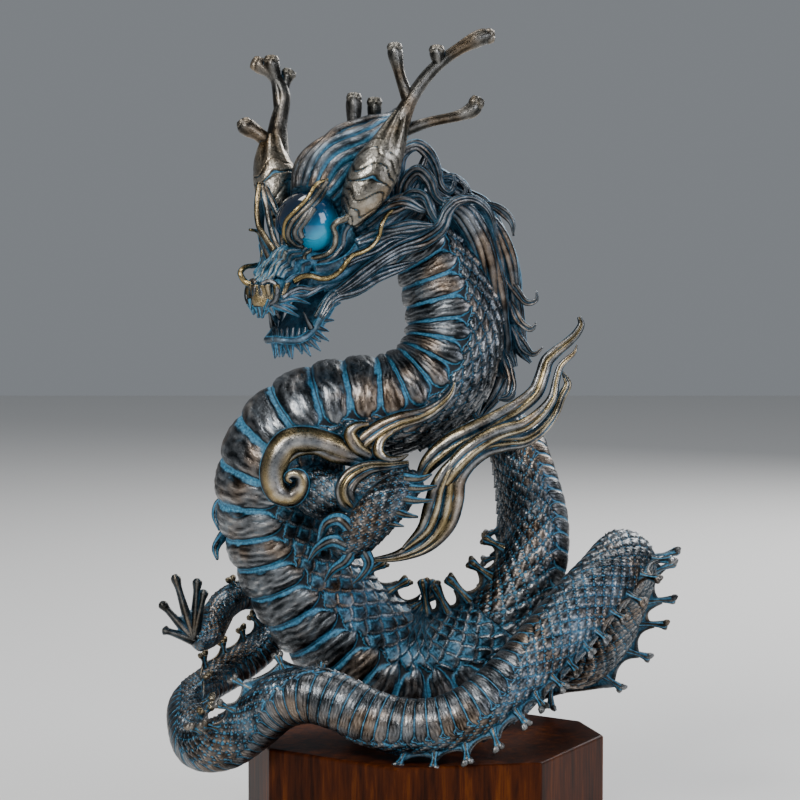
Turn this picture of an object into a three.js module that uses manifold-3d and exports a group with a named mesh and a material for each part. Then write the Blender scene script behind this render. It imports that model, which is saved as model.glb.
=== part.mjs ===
// A bronze dragon coiled in a standing loop, a glass orb in its brow, on a chamfered hardwood plinth.
// Millimetres, +Z up; the origin is the middle of the plinth's underside and -Y is the front.
import * as THREE from "three";
import { mergeVertices } from "three/addons/utils/BufferGeometryUtils.js";
import Module from "manifold-3d";

const wasm = await Module();
wasm.setup();

// ---- Driving dimensions ----
const GAP = 0.3; // between the casting and the plinth or the orb
const PLINTH_HALF = 75; // half the width across the flats
const PLINTH_HEIGHT = 50;
const PLINTH_TURN = 12.8; // degrees about +Z
const PLINTH_FLAT_FRONT = 31; // half the length of the front and back flats
const PLINTH_FLAT_SIDE = 18; // half the length of the side flats; the left one runs on towards the back
const PLINTH_BEVEL = 1; // eased top edge
const ORB_RADIUS = 13.7;
const HEAD_YAW = 50; // degrees the head turns from -X towards the front
const HEAD_PITCH = 38; // degrees it looks down
const HEAD_AT = [-52.3, -28, 276]; // the orb's middle
const BODY_SIDES = 8;
const PLATE_SHARE = 0.66; // belly plate pitch as a share of the body's radius
const PLATE_LEAST = 13; // the least plate pitch
const REAR_PITCH = 2.5; // plates this many times longer on the hidden run behind the loop
const PLATE_RELIEF = 0.06; // belly plate crest over the mean, as a share of the radius
const BELLY_REACH = 105; // degrees the belly plates reach either side of the belly line
const FIN_SPACING = 17;
const FIN_LENGTH = 11;

// ---- Vectors and closed surfaces ----
const vec = (p) => new THREE.Vector3(p[0], p[1], p[2]);
const radians = THREE.MathUtils.degToRad;

// A manifold solid from a list of points and a list of triangles.
function solid(points, triangles) {
  const positions = new Float32Array(points.flatMap((p) => [p.x, p.y, p.z]));
  const geometry = new THREE.BufferGeometry();
  geometry.setAttribute("position", new THREE.BufferAttribute(positions, 3));
  geometry.setIndex(triangles.flat());
  return solidOf(geometry);
}

function solidOf(source) {
  const geometry = source.clone();
  geometry.deleteAttribute("normal");
  geometry.deleteAttribute("uv");
  const merged = mergeVertices(geometry, 1e-3);
  const mesh = new wasm.Mesh({
    numProp: 3,
    vertProperties: merged.attributes.position.array,
    triVerts: new Uint32Array(merged.index.array),
  });
  return new wasm.Manifold(mesh);
}

// A skin over rings of equal size, each end closed by a fan to the ring's middle.
function loft(rings) {
  const sides = rings[0].length;
  const points = rings.flat();
  const triangles = [];
  for (let i = 0; i + 1 < rings.length; i++) {
    for (let j = 0; j < sides; j++) {
      const a = i * sides + j;
      const b = i * sides + ((j + 1) % sides);
      triangles.push([a, b, a + sides], [b, b + sides, a + sides]);
    }
  }
  const last = (rings.length - 1) * sides;
  [0, last].forEach((start, end) => {
    const middle = new THREE.Vector3();
    points.slice(start, start + sides).forEach((p) => middle.addScaledVector(p, 1 / sides));
    const centre = points.push(middle) - 1;
    for (let j = 0; j < sides; j++) {
      const a = start + j;
      const b = start + ((j + 1) % sides);
      triangles.push(end ? [a, b, centre] : [b, a, centre]);
    }
  });
  return solid(points, triangles);
}

// A ring of points about a centre: `out` is the direction of angle 0 and `side` of angle 90.
function ring(centre, out, side, sides, reach) {
  return Array.from({ length: sides }, (_, j) => {
    const angle = (2 * Math.PI * j) / sides;
    const point = centre.clone();
    point.addScaledVector(out, Math.cos(angle) * reach(angle));
    return point.addScaledVector(side, Math.sin(angle) * reach(angle));
  });
}

// A smooth curve through stations [x, y, z, ...more]: at(t) returns every column, tangent(t) the direction.
function course(stations) {
  const curve = new THREE.CatmullRomCurve3(stations.map(vec), false, "centripetal");
  const last = stations.length - 1;
  const column = (t, k) => {
    const i = Math.min(Math.floor(t * last), last - 1);
    const f = t * last - i;
    return stations[i][k] * (1 - f) + stations[i + 1][k] * f;
  };
  return { curve, column };
}

// A tapering tube through stations [x, y, z, radius]; `flat` squashes it along the direction `face`.
function tube(stations, { sides = 6, steps = 0, flat = 1, face = [0, 1, 0] } = {}) {
  const { curve, column } = course(stations);
  const count = steps || 2 * (stations.length - 1);
  const rings = [];
  for (let i = 0; i <= count; i++) {
    const t = i / count;
    const along = curve.getTangent(t);
    const side = new THREE.Vector3().crossVectors(along, vec(face)).normalize();
    const out = new THREE.Vector3().crossVectors(side, along);
    const radius = column(t, 3);
    rings.push(ring(curve.getPoint(t), out.multiplyScalar(flat), side, sides, () => radius));
  }
  return loft(rings);
}

// ---- Plinth: an eight-sided block, its top edge eased ----
function plinthRing(z, inset) {
  const grow = 1 - inset / PLINTH_HALF;
  const [h, a, b] = [PLINTH_HALF * grow, PLINTH_FLAT_FRONT * grow, PLINTH_FLAT_SIDE * grow];
  const outline = [[-a, -h], [a, -h], [h, -b], [h, b], [a, h], [-1.5 * a, h], [-h, 1.9 * b], [-h, -b]];
  const turn = new THREE.Matrix4().makeRotationZ(radians(PLINTH_TURN));
  return outline.map(([x, y]) => new THREE.Vector3(x, y, z).applyMatrix4(turn));
}

const plinth = loft([
  plinthRing(0, 0),
  plinthRing(PLINTH_HEIGHT - PLINTH_BEVEL, 0),
  plinthRing(PLINTH_HEIGHT, PLINTH_BEVEL),
]);
const plinthRoom = loft([plinthRing(-1, -GAP), plinthRing(PLINTH_HEIGHT + GAP, -GAP)]);

// ---- Body: one tapering tube from the nape to the tail, with belly plates and a dorsal ridge ----
// Each station is x, y, z, radius and the direction of the back (x, y, z).
const SPINE = [
  [-27, -6, 273, 11, 0.5, 0.3, 0.8],
  [-14, 2, 275, 14.5, 0.5, 0.4, 0.8],
  [-1, 4, 266, 16.7, 0.85, 0.3, 0.45],
  [8, 4, 247, 18.9, 1, 0.2, 0.1],
  [11, 2, 227, 19.8, 1, 0.1, -0.1],
  [4, -2, 209, 20, 0.8, 0, -0.6],
  [-13, -6, 198, 20, 0.3, 0, -0.95],
  [-31, -8, 196, 20, 0.1, 0, -1],
  [-50, -8, 191, 21, 0.35, 0, -0.95],
  [-65, -6, 177, 22, 0.75, 0, -0.65],
  [-70, -2, 158, 22, 1, 0, -0.1],
  [-65, 2, 136, 22, 0.95, 0, 0.3],
  [-53, 6, 113, 23, 0.8, 0, 0.6],
  [-36, 10, 93, 24, 0.5, 0, 0.85],
  [-16, 13, 78, 25, 0.2, 0, 1],
  [3, 13, 76, 24.5, -0.15, 0, 1],
  [23, 10, 86, 20.5, -0.5, -0.1, 0.85],
  [38, 8, 104, 16.8, -0.8, -0.2, 0.6],
  [47, 12, 125, 14.2, -1, -0.2, 0.2],
  [49, 18, 142, 13, -1, -0.2, 0],
  [46, 26, 159, 12, -1, -0.1, -0.1],
  [42, 35, 171, 11.8, -1, 0, 0],
  [40, 50, 176, 12, -1, 0, 0],
  [43, 63, 169, 12.4, -1, 0, 0],
  [46, 67, 149, 12.6, -1, 0, 0],
  [47, 66, 125, 12.9, -1, 0, 0],
  [47, 66, 100, 13.4, -1, 0, -0.2],
  [54, 64, 80, 13.8, -0.7, 0, -0.7],
  [67, 58, 76, 13.7, 0, 0.2, -1],
  [78, 50, 87, 13.7, 0.6, 0.3, -0.8],
  [84, 38, 104, 13.5, 0.85, 0.2, -0.4],
  [87, 22, 119, 13.4, 0.9, 0.1, 0.35],
  [85, 5, 126, 13.2, 0.8, -0.6, 0.1],
  [76, -14, 120, 13, 0.6, -0.75, -0.3],
  [65, -28, 111, 13.3, 0.55, -0.75, -0.4],
  [54, -40, 100, 13.2, 0.45, -0.7, -0.55],
  [42, -50, 89, 12.7, 0.4, -0.5, -0.75],
  [30, -58, 79, 12.2, 0.3, -0.25, -0.9],
  [18, -63, 71, 11.7, 0.2, -0.05, -1],
  [4, -65, 66, 11.3, 0, 0.15, -1],
  [-10, -64, 65, 11.3, -0.1, 0.3, -0.95],
  [-24, -61, 68, 11.3, 0, 0.7, -0.7],
  [-37, -57, 73, 11.3, 0.1, 1, -0.1],
  [-51, -52, 76, 11.4, -0.1, 0.8, 0.6],
  [-64, -46, 72, 11.4, -0.4, 0.1, 0.9],
  [-75, -40, 62, 11.1, -0.3, -0.5, 0.75],
  [-88, -32, 52, 11.1, 0, -0.75, 0.6],
  [-100, -20, 49, 10.4, 0.35, -0.6, 0.6],
  [-106, -6, 55, 8.7, 0.8, -0.4, 0.4],
  [-107, 10, 62, 8, 0.8, 0.2, 0.6],
  [-99, 24, 68, 7.6, 0.2, 0.2, 1],
  [-86, 34, 75, 7.7, -0.3, 0.1, 1],
  [-74, 40, 84, 7.2, -0.5, 0, 0.8],
  [-68, 42, 95, 6.8, -0.8, 0, 0.6],
  [-73, 36, 105, 6.3, -0.4, 0, 1],
  [-84, 28, 108, 6.3, 0.1, 0, 1],
  [-93, 18, 103, 6.4, 0.6, 0, 0.8],
  [-98, 9, 94, 6.2, 1, 0, 0.2],
  [-103, 3, 90, 4, 1, 0, -0.4],
];
const spine = course(SPINE);
const REAR_FROM = 0.37; // where the spine passes behind the loop, and where it comes out
const REAR_TO = 0.5;

// Where the body is at t: its middle, direction, radius, back and left side.
function bodyAt(t) {
  const along = spine.curve.getTangent(t);
  const back = new THREE.Vector3(...[4, 5, 6].map((k) => spine.column(t, k)));
  back.addScaledVector(along, -back.dot(along)).normalize();
  const side = new THREE.Vector3().crossVectors(along, back);
  return { middle: spine.curve.getPoint(t), along, back, side, radius: spine.column(t, 3) };
}

// Parameter values along the spine, each a given length on from the last.
function walk(from, to, step) {
  const found = [];
  let t = from;
  while (t < to) {
    found.push(t);
    const here = bodyAt(t);
    const ahead = spine.curve.getPoint(Math.min(t + 1e-3, 1));
    const speed = ahead.distanceTo(here.middle) / 1e-3;
    t += step(here.radius) / Math.max(speed, 1);
  }
  return found;
}

function body() {
  const belly = Math.cos(radians(180 - BELLY_REACH));
  const pitchFor = (radius) => Math.max(PLATE_SHARE * radius, PLATE_LEAST) / 2;
  const stops = [
    ...walk(0, REAR_FROM, pitchFor),
    ...walk(REAR_FROM, REAR_TO, (radius) => pitchFor(radius) * REAR_PITCH),
    ...walk(REAR_TO, 0.998, pitchFor),
  ];
  const rings = stops.map((t, i) => {
    const { middle, back, side, radius } = bodyAt(t);
    const relief = radius * PLATE_RELIEF * (i % 2 ? 1 : -1);
    return ring(middle, back, side, BODY_SIDES, (angle) => {
      const plate = Math.cos(angle) < belly ? relief : 0;
      const ridge = angle === 0 ? 0.1 * radius : 0;
      return radius + plate + ridge;
    });
  });
  return loft(rings);
}

// ---- Dorsal fins: bony rays with a waist and a flared knob ----
function fin(t, length = FIN_LENGTH) {
  const { middle, along, back, side, radius } = bodyAt(t);
  const lean = back.clone().addScaledVector(along, 0.35).normalize();
  const at = (reach) => middle.clone().addScaledVector(lean, reach);
  const slice = (reach, half) => ring(at(reach), side, along, 4, () => half);
  return loft([
    slice(radius * 0.8, 2.6),
    slice(radius + length * 0.55, 1.1),
    slice(radius + length, 2.2),
  ]);
}

const finStops = [
  ...walk(0.215, 0.355, () => FIN_SPACING),
  ...walk(0.47, 0.7, () => FIN_SPACING),
  ...walk(0.765, 0.835, () => FIN_SPACING),
];

// ---- Head, laid out from the orb's middle: a forward, b to the dragon's left, c up ----
const yaw = radians(HEAD_YAW);
const pitch = radians(HEAD_PITCH);
const FORWARD = new THREE.Vector3(
  -Math.cos(yaw) * Math.cos(pitch),
  -Math.sin(yaw) * Math.cos(pitch),
  -Math.sin(pitch),
);
const LEFT = new THREE.Vector3(Math.sin(yaw), -Math.cos(yaw), 0);
const UP = new THREE.Vector3().crossVectors(FORWARD, LEFT);
const forward = FORWARD.toArray();
const left = LEFT.toArray();
const up = UP.toArray();

function head(a, b, c) {
  const point = vec(HEAD_AT).addScaledVector(FORWARD, a);
  return point.addScaledVector(LEFT, b).addScaledVector(UP, c).toArray();
}

// Stations [a, b, c, radius] of the head turned to world stations, on the left or mirrored to the right.
const onHead = (stations, s = 1) => stations.map(([a, b, c, r]) => [...head(a, s * b, c), r]);
const bothSides = (stations, options) => [1, -1].map((s) => tube(onHead(stations, s), options));

// A loft through sections [a, c, half width, half height] of the head's middle plane.
function muzzle(sections, sides = 8) {
  const rings = sections.map(([a, c, wide, high]) => {
    const out = UP.clone().multiplyScalar(high);
    const side = LEFT.clone().multiplyScalar(-wide);
    return ring(vec(head(a, 0, c)), out, side, sides, () => 1);
  });
  return loft(rings);
}

const skull = muzzle([
  [-52, -12, 9, 9],
  [-42, -12, 17, 15],
  [-26, -11, 21, 17],
  [-10, -15, 20, 14],
  [4, -17, 17, 10],
  [14, -11, 14, 10],
  [22, -7, 12, 10],
  [32, -7, 10.5, 9],
  [40, -7, 12, 8],
  [45, -8, 9, 6],
  [47, -9, 4, 4],
]);
const jaw = muzzle([
  [-14, -20, 14, 7],
  [4, -25, 12.5, 6],
  [18, -29, 11.5, 5],
  [31, -31, 10.5, 4.5],
  [41, -33, 9, 3.5],
  [45, -34, 5, 2.5],
]);
const hair = [
  [-10, 0, 4, 12],
  [-20, 0, 6, 16],
  [-36, 0, 4, 17],
  [-52, 2, 2, 14],
  [-66, 3, 0, 9],
  [-76, 4, 2, 4],
];
const leftBulb = [
  [-3, 20, -4, 3],
  [-13, 22, 2, 8],
  [-26, 25, 8, 10.5],
  [-38, 28, 14, 8],
  [-50, 30, 20, 3.6],
];
const rightBulb = [
  [-3, -20, -4, 3],
  [-10, -23, 4, 8],
  [-18, -26, 10, 9.5],
  [-24, -29, 16, 8],
  [-32, -31, 22, 4.5],
];
const browBand = [
  [26, 2, 1, 1.5],
  [16, 3, 6, 2.2],
  [13, 6, 9, 2.4],
  [7, 11, 12, 2],
  [-5, 15, 17, 1],
];
const socketRim = [
  [18, 6, -4, 2],
  [12, 12, -8, 2.2],
  [3, 17, -6, 2.4],
  [-3, 19, -1, 2],
  [-14, 23, -4, 1.5],
];
const lipWhiskers = [
  [34, 8, -9, 2],
  [22, 12, -11, 1.8],
  [8, 19, -12, 1.5],
  [-6, 26, -10, 1.2],
  [-20, 28, 0, 0.9],
];
const cheekLocks = [
  [[-6, 18, -12, 4], [-22, 24, -14, 6], [-40, 26, -14, 4], [-58, 26, -6, 1.5]],
  [[-4, 16, -18, 4], [-20, 22, -22, 5], [-38, 24, -26, 4], [-54, 22, -20, 1.2]],
  [[0, 13, -20, 3], [-14, 18, -28, 4], [-28, 18, -36, 1.2]],
];
const chinSpikes = [
  [[39, 2, -33, 3.6], [49, 3, -35, 0.8]],
  [[35, 6, -33, 3.6], [44, 9, -37, 0.8]],
  [[27, 9, -31, 3.6], [37, 13, -37, 0.8]],
  [[18, 10, -29, 3.6], [27, 15, -35, 0.8]],
];
const lipSpikes = [
  [[42, 4, -11, 3], [47, 6, -16, 0.6]],
  [[36, 8, -11, 3], [40, 12, -18, 0.6]],
  [[28, 9, -10, 3], [29, 14, -19, 0.6]],
];

// ---- Antlers: branches with knobbed ends ----
const leftAntler = [
  [[-14, -27, 316, 5], [-9, -26, 327, 3.2], [0, -22, 340, 2.7], [12, -18, 350, 2.6],
    [24, -14, 356, 3.4], [26, -13, 357, 1.5]],
  [[-9, -25, 328, 2.8], [-13, -24, 340, 2.3], [-15, -23, 350, 3], [-16, -23, 352, 1.4]],
  [[4, -21, 343, 2], [3, -22, 349, 3], [3, -22, 351, 1.5]],
  [[-15, -26, 314, 3], [0, -22, 319, 2.2], [13, -18, 322, 2.4], [19, -16, 325, 3.4],
    [21, -16, 328, 1.6]],
];
const rightAntler = [
  [[-67, 0, 305, 6], [-66, 4, 318, 4], [-64, 7, 332, 3], [-69, 9, 341, 2.8], [-75, 11, 345, 3.4],
    [-77, 11, 346, 1.5]],
  [[-65, 6, 326, 3], [-67, 8, 338, 2.4], [-69, 7, 346, 3.2], [-69, 7, 348, 1.5]],
  [[-64, 7, 328, 2.6], [-63, 9, 336, 2], [-62, 10, 340, 2.8], [-61, 10, 342, 1.4]],
  [[-67, 2, 308, 4], [-74, -2, 314, 3], [-80, -4, 318, 3.8], [-81, -4, 320, 2]],
  [[-32, 9, 306, 3], [-33, 14, 318, 2.8], [-33, 15, 329, 3.4], [-33, 15, 332, 2]],
  [[-24, 10, 308, 2.6], [-24, 15, 318, 2.4], [-24, 16, 327, 3], [-24, 16, 330, 1.8]],
];

// ---- Mane down the back of the neck ----
const mane = [
  [[-14, -14, 296, 5], [-6, -10, 307, 4], [2, -6, 304, 3.6], [6, -4, 294, 3.4], [10, -2, 288, 2.6],
    [12, -1, 293, 1]],
  [[-14, -4, 288, 8], [0, 2, 292, 8], [12, 5, 286, 7], [24, 7, 282, 4], [30, 7, 272, 2.8],
    [32, 7, 260, 1.4]],
  [[-4, 8, 286, 8], [10, 13, 280, 9], [22, 14, 264, 8], [29, 13, 246, 7], [32, 12, 228, 6],
    [38, 10, 212, 2]],
  [[0, 20, 282, 6], [16, 22, 270, 8], [26, 22, 250, 8], [31, 18, 228, 7], [30, 14, 206, 6],
    [22, 10, 190, 3]],
  [[28, 12, 262, 5], [38, 8, 246, 4], [45, 6, 240, 2.6], [45, 5, 231, 1]],
  [[28, 14, 240, 6], [38, 10, 222, 4.4], [44, 8, 214, 3], [48, 7, 218, 1]],
];

// ---- Flames off the shoulder, flat to the front ----
const flames = [
  [[-18, -24, 180, 6], [-32, -28, 182, 9.5], [-45, -30, 184, 9], [-56, -32, 183, 7.5],
    [-65, -33, 177, 6.5],
    [-69, -34, 168, 6], [-68, -33, 158, 5.4], [-60, -32, 154, 4.6], [-55, -31, 161, 4], [-60, -31, 166, 4]],
  [[-30, -26, 175, 5], [-23, -27, 182, 6], [-12, -27, 187, 5], [0, -26, 192, 3.6],
    [8, -25, 198, 2], [11, -24, 205, 0.8]],
  [[-22, -28, 184, 3.6], [-18, -30, 176, 4], [-12, -31, 171, 3], [-5, -30, 174, 0.8]],
  [[-6, -31, 171, 4.5], [-18, -33, 168, 5.4], [-29, -34, 165, 5.4], [-37, -34, 160, 5],
    [-38, -34, 154, 4.2],
    [-34, -33, 149, 3.4], [-27, -33, 150, 2]],
  [[-29, -31, 128, 2.4], [-14, -30, 129, 3.6], [-4, -29, 133, 6], [2, -28, 142, 8.4],
    [6, -28, 153, 9.4], [13, -26, 166, 9],
    [26, -22, 178, 7.6], [42, -18, 187, 6.2], [54, -14, 195, 4.4], [60, -12, 207, 1.6]],
  [[-9, -31, 162, 4], [1, -30, 174, 6], [16, -27, 186, 6.5], [35, -22, 195, 6], [49, -18, 206, 5],
    [59, -14, 219, 3.6], [66, -12, 226, 2.4], [69, -11, 234, 0.8]],
];

// ---- Legs: the near arm grips the coil from the front, the far one from behind ----
const nearArm = [
  [[-56, -18, 158, 8], [-48, -24, 157, 11], [-36, -28, 158, 8], [-10, -31, 167, 5]],
  [[-5, -32, 171, 4.5], [-14, -35, 158, 7.4], [-24, -36, 145, 7], [-35, -34, 134, 6.5],
    [-41, -31, 130, 3]],
];
const nearClaws = [
  [[-34, -34, 136, 3], [-42, -33, 142, 2.4], [-46, -28, 138, 0.8]],
  [[-36, -34, 134, 3], [-46, -31, 134, 2.4], [-50, -24, 128, 0.8]],
  [[-34, -33, 130, 3], [-40, -30, 122, 2.4], [-42, -24, 116, 0.8]],
  [[-30, -33, 132, 3], [-28, -31, 122, 2.4], [-30, -26, 116, 0.8]],
];
const elbowSpikes = [
  [[-8, -34, 162, 2.4], [4, -36, 161, 0.6]],
  [[-12, -35, 156, 2.4], [1, -37, 153, 0.6]],
  [[-17, -36, 150, 2.4], [-6, -38, 146, 0.6]],
  [[-24, -36, 143, 2.4], [-12, -38, 140, 0.6]],
];
const farArm = [
  [[-52, 18, 176, 10], [-66, 28, 166, 8], [-80, 26, 152, 6], [-86, 16, 146, 4]],
  [[-84, 18, 148, 4], [-92, 10, 152, 2.4], [-94, 2, 147, 1.8], [-92, -2, 141, 0.7]],
  [[-84, 16, 144, 4], [-92, 8, 136, 2.4], [-94, 2, 132, 1.8], [-93, -2, 128, 0.7]],
];

// ---- Fan of rays at the tail's end ----
const tailRoot = [-104, 3, 92];
const tailRays = [
  [-118, -2, 109],
  [-112, 0, 121],
  [-102, 2, 119],
  [-99, 2, 114],
  [-117, -3, 97],
].map((tip) => {
  const [x, y, z] = tip.map((v, k) => v * 0.85 + tailRoot[k] * 0.15);
  return [[...tailRoot, 2.6], [x, y, z, 1.2], [...tip, 2]];
});

// ---- The casting: everything joined, then cut clear of the orb and the plinth ----
const tubes = [...leftAntler, ...rightAntler, ...nearArm, ...farArm];
const strands = [...mane, ...nearClaws, ...elbowSpikes, ...tailRays];
const headTubes = [
  ...[leftBulb, rightBulb].map((bulb) => tube(onHead(bulb), { sides: 8, steps: 5 })),
  tube(onHead(hair), { sides: 8, steps: 6 }),
  ...bothSides(browBand, { sides: 4, steps: 6 }),
  ...bothSides(socketRim, { sides: 4, steps: 4 }),
  ...bothSides(lipWhiskers, { sides: 3, steps: 4 }),
  ...cheekLocks.flatMap((lock) => bothSides(lock, { sides: 5, steps: 4 })),
  ...chinSpikes.flatMap((spike) => bothSides(spike, { sides: 3, steps: 1 })),
  ...lipSpikes.flatMap((spike) => bothSides(spike, { sides: 3, steps: 1 })),
];
const orbRoom = solidOf(new THREE.SphereGeometry(ORB_RADIUS + GAP, 14, 9).translate(...HEAD_AT));
const casting = [
  skull,
  jaw,
  ...headTubes,
  ...tubes.map((stations) => tube(stations, { sides: 5, steps: stations.length - 1 })),
  ...strands.map((stations) => tube(stations, { sides: 4, steps: stations.length - 1 })),
  ...flames.map((stations) => tube(stations, { sides: 6, steps: stations.length - 1, flat: 0.55 })),
  ...finStops.map((t) => fin(t)),
]
  .reduce((sum, piece) => sum.add(piece), body())
  .subtract(orbRoom)
  .subtract(plinthRoom);

// Where pieces meet they may close a void between them: the cast metal fills it.
const shells = casting.decompose().sort((a, b) => b.volume() - a.volume());
const dragon = shells[0];

// ---- Named meshes ----
const BRONZE = { color: 0x55504a, roughness: 0.42, metalness: 1 };
const GLASS = { color: 0x1190c4, roughness: 0.05, metalness: 0 };
const HARDWOOD = { color: 0x6b2f16, roughness: 0.3, metalness: 0 };

function node(name, manifold, look) {
  const { numProp, vertProperties, triVerts } = manifold.getMesh();
  const geometry = new THREE.BufferGeometry();
  const positions = new Float32Array((vertProperties.length / numProp) * 3);
  for (let i = 0; i * 3 < positions.length; i++) {
    positions.set(vertProperties.subarray(i * numProp, i * numProp + 3), i * 3);
  }
  geometry.setAttribute("position", new THREE.BufferAttribute(positions, 3));
  geometry.setIndex(new THREE.BufferAttribute(triVerts, 1));
  const mesh = new THREE.Mesh(geometry, new THREE.MeshStandardMaterial(look));
  mesh.name = name;
  return mesh;
}

const orb = solidOf(new THREE.SphereGeometry(ORB_RADIUS, 14, 9).translate(...HEAD_AT));
const group = new THREE.Group();
group.add(node("dragon", dragon, BRONZE));
group.add(node("orb", orb, GLASS));
group.add(node("plinth", plinth, HARDWOOD));

export default group;
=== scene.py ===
"""A cast bronze dragon with blue patina and gilding, a glass orb in its brow, on a hardwood plinth."""
import math

import bpy
import numpy as np
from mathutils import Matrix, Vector


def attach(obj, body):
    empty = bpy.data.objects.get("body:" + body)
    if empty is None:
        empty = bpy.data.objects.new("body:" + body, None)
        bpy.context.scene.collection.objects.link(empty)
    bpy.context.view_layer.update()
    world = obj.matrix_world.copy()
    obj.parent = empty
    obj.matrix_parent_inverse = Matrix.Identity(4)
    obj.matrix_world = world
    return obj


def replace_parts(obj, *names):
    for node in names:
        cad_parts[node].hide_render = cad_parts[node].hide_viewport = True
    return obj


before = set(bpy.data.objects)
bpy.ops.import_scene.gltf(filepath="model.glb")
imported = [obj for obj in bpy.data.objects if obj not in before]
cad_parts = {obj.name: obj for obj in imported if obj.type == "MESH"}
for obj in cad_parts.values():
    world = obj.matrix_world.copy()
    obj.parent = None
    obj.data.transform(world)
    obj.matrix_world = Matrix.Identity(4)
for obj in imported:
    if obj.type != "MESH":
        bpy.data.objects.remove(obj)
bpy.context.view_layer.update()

MM = 0.001
rng = np.random.default_rng(7)


# ---- Camera, floor and light ----
def hex_linear(code):
    """An sRGB hex colour as linear RGBA."""
    s = np.array([int(code[i:i + 2], 16) / 255 for i in (1, 3, 5)])
    lin = np.where(s <= 0.04045, s / 12.92, ((s + 0.055) / 1.055) ** 2.4)
    return (*map(float, lin), 1.0)


def camera():
    """A 135 mm lens 1.316 m from the statue, 3.9 degrees above it."""
    target = Vector((-0.0127, 0, 0.1981))
    rise = math.radians(3.9)
    back = Vector((0, -math.cos(rise), math.sin(rise)))
    data = bpy.data.cameras.new("camera")
    data.lens = 135
    data.sensor_width = 36
    data.clip_start = 0.05
    data.clip_end = 40
    made = bpy.data.objects.new("camera", data)
    made.location = target + back * 1.316
    made.rotation_euler = back.to_track_quat("Z", "Y").to_euler()
    bpy.context.scene.collection.objects.link(made)
    bpy.context.scene.camera = made


def area_light(name, place, aim, size, watts, colour):
    """A rectangular softbox at `place` turned to face `aim`."""
    data = bpy.data.lights.new(name, "AREA")
    data.shape = "RECTANGLE"
    data.size, data.size_y = size
    data.energy = watts
    data.color = hex_linear(colour)[:3]
    made = bpy.data.objects.new(name, data)
    made.location = place
    made.rotation_euler = (Vector(place) - Vector(aim)).to_track_quat("Z", "Y").to_euler()
    bpy.context.scene.collection.objects.link(made)


# ---- Materials ----
def node(tree, kind, links=(), **settings):
    """Adds a node: keyword settings are its properties, or inputs when the name is written in_NAME;
    each link is (input, node, output)."""
    made = tree.nodes.new(kind)
    for key, value in settings.items():
        if key.startswith("in_"):
            name = key[3:].replace("_", " ")
            made.inputs[int(name) if name.isdigit() else name].default_value = value
        else:
            setattr(made, key, value)
    for socket, source, output in links:
        tree.links.new(source.outputs[output], made.inputs[socket])
    return made


def new_material(name):
    made = bpy.data.materials.new(name)
    made.use_nodes = True
    made.node_tree.nodes.clear()
    return made, made.node_tree


def ramp(tree, source, output, stops):
    """A colour ramp: stops are (place, hex colour)."""
    made = node(tree, "ShaderNodeValToRGB", [(0, source, output)])
    points = made.color_ramp.elements
    while len(points) < len(stops):
        points.new(0.5)
    for point, (place, colour) in zip(points, stops):
        point.position = place
        point.color = hex_linear(colour)
    return made


def map_range(tree, source, output, low, high, to_low=0.0, to_high=1.0):
    return node(
        tree, "ShaderNodeMapRange", [("Value", source, output)], clamp=True,
        interpolation_type="SMOOTHSTEP",
        in_From_Min=low, in_From_Max=high, in_To_Min=to_low, in_To_Max=to_high,
    )


def math_node(tree, operation, a, b=None, value=0.5, clamp=True):
    """`a` and `b` are (node, output); without `b` the second number is `value`."""
    made = node(tree, "ShaderNodeMath", operation=operation, use_clamp=clamp)
    tree.links.new(a[0].outputs[a[1]], made.inputs[0])
    if b is None:
        made.inputs[1].default_value = value
    else:
        tree.links.new(b[0].outputs[b[1]], made.inputs[1])
    return made


def blend(tree, factor, a, b, **settings):
    """A colour mix of the outputs `a` and `b`, each (node, output), by the output `factor`."""
    made = node(tree, "ShaderNodeMix", data_type="RGBA", **settings)
    for place, source in (("Factor", factor), (6, a), (7, b)):
        if source:
            tree.links.new(source[0].outputs[source[1]], made.inputs[place])
    return made


def noise(tree, source, output, scale, detail, **settings):
    return node(tree, "ShaderNodeTexNoise", [("Vector", source, output)], in_Scale=scale, in_Detail=detail,
                **settings)


def finish_material(tree, shader):
    node(tree, "ShaderNodeOutputMaterial", [("Surface", shader, 0)])


GRAIN_MM = 0.5  # size of the pits in the cast skin


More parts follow.
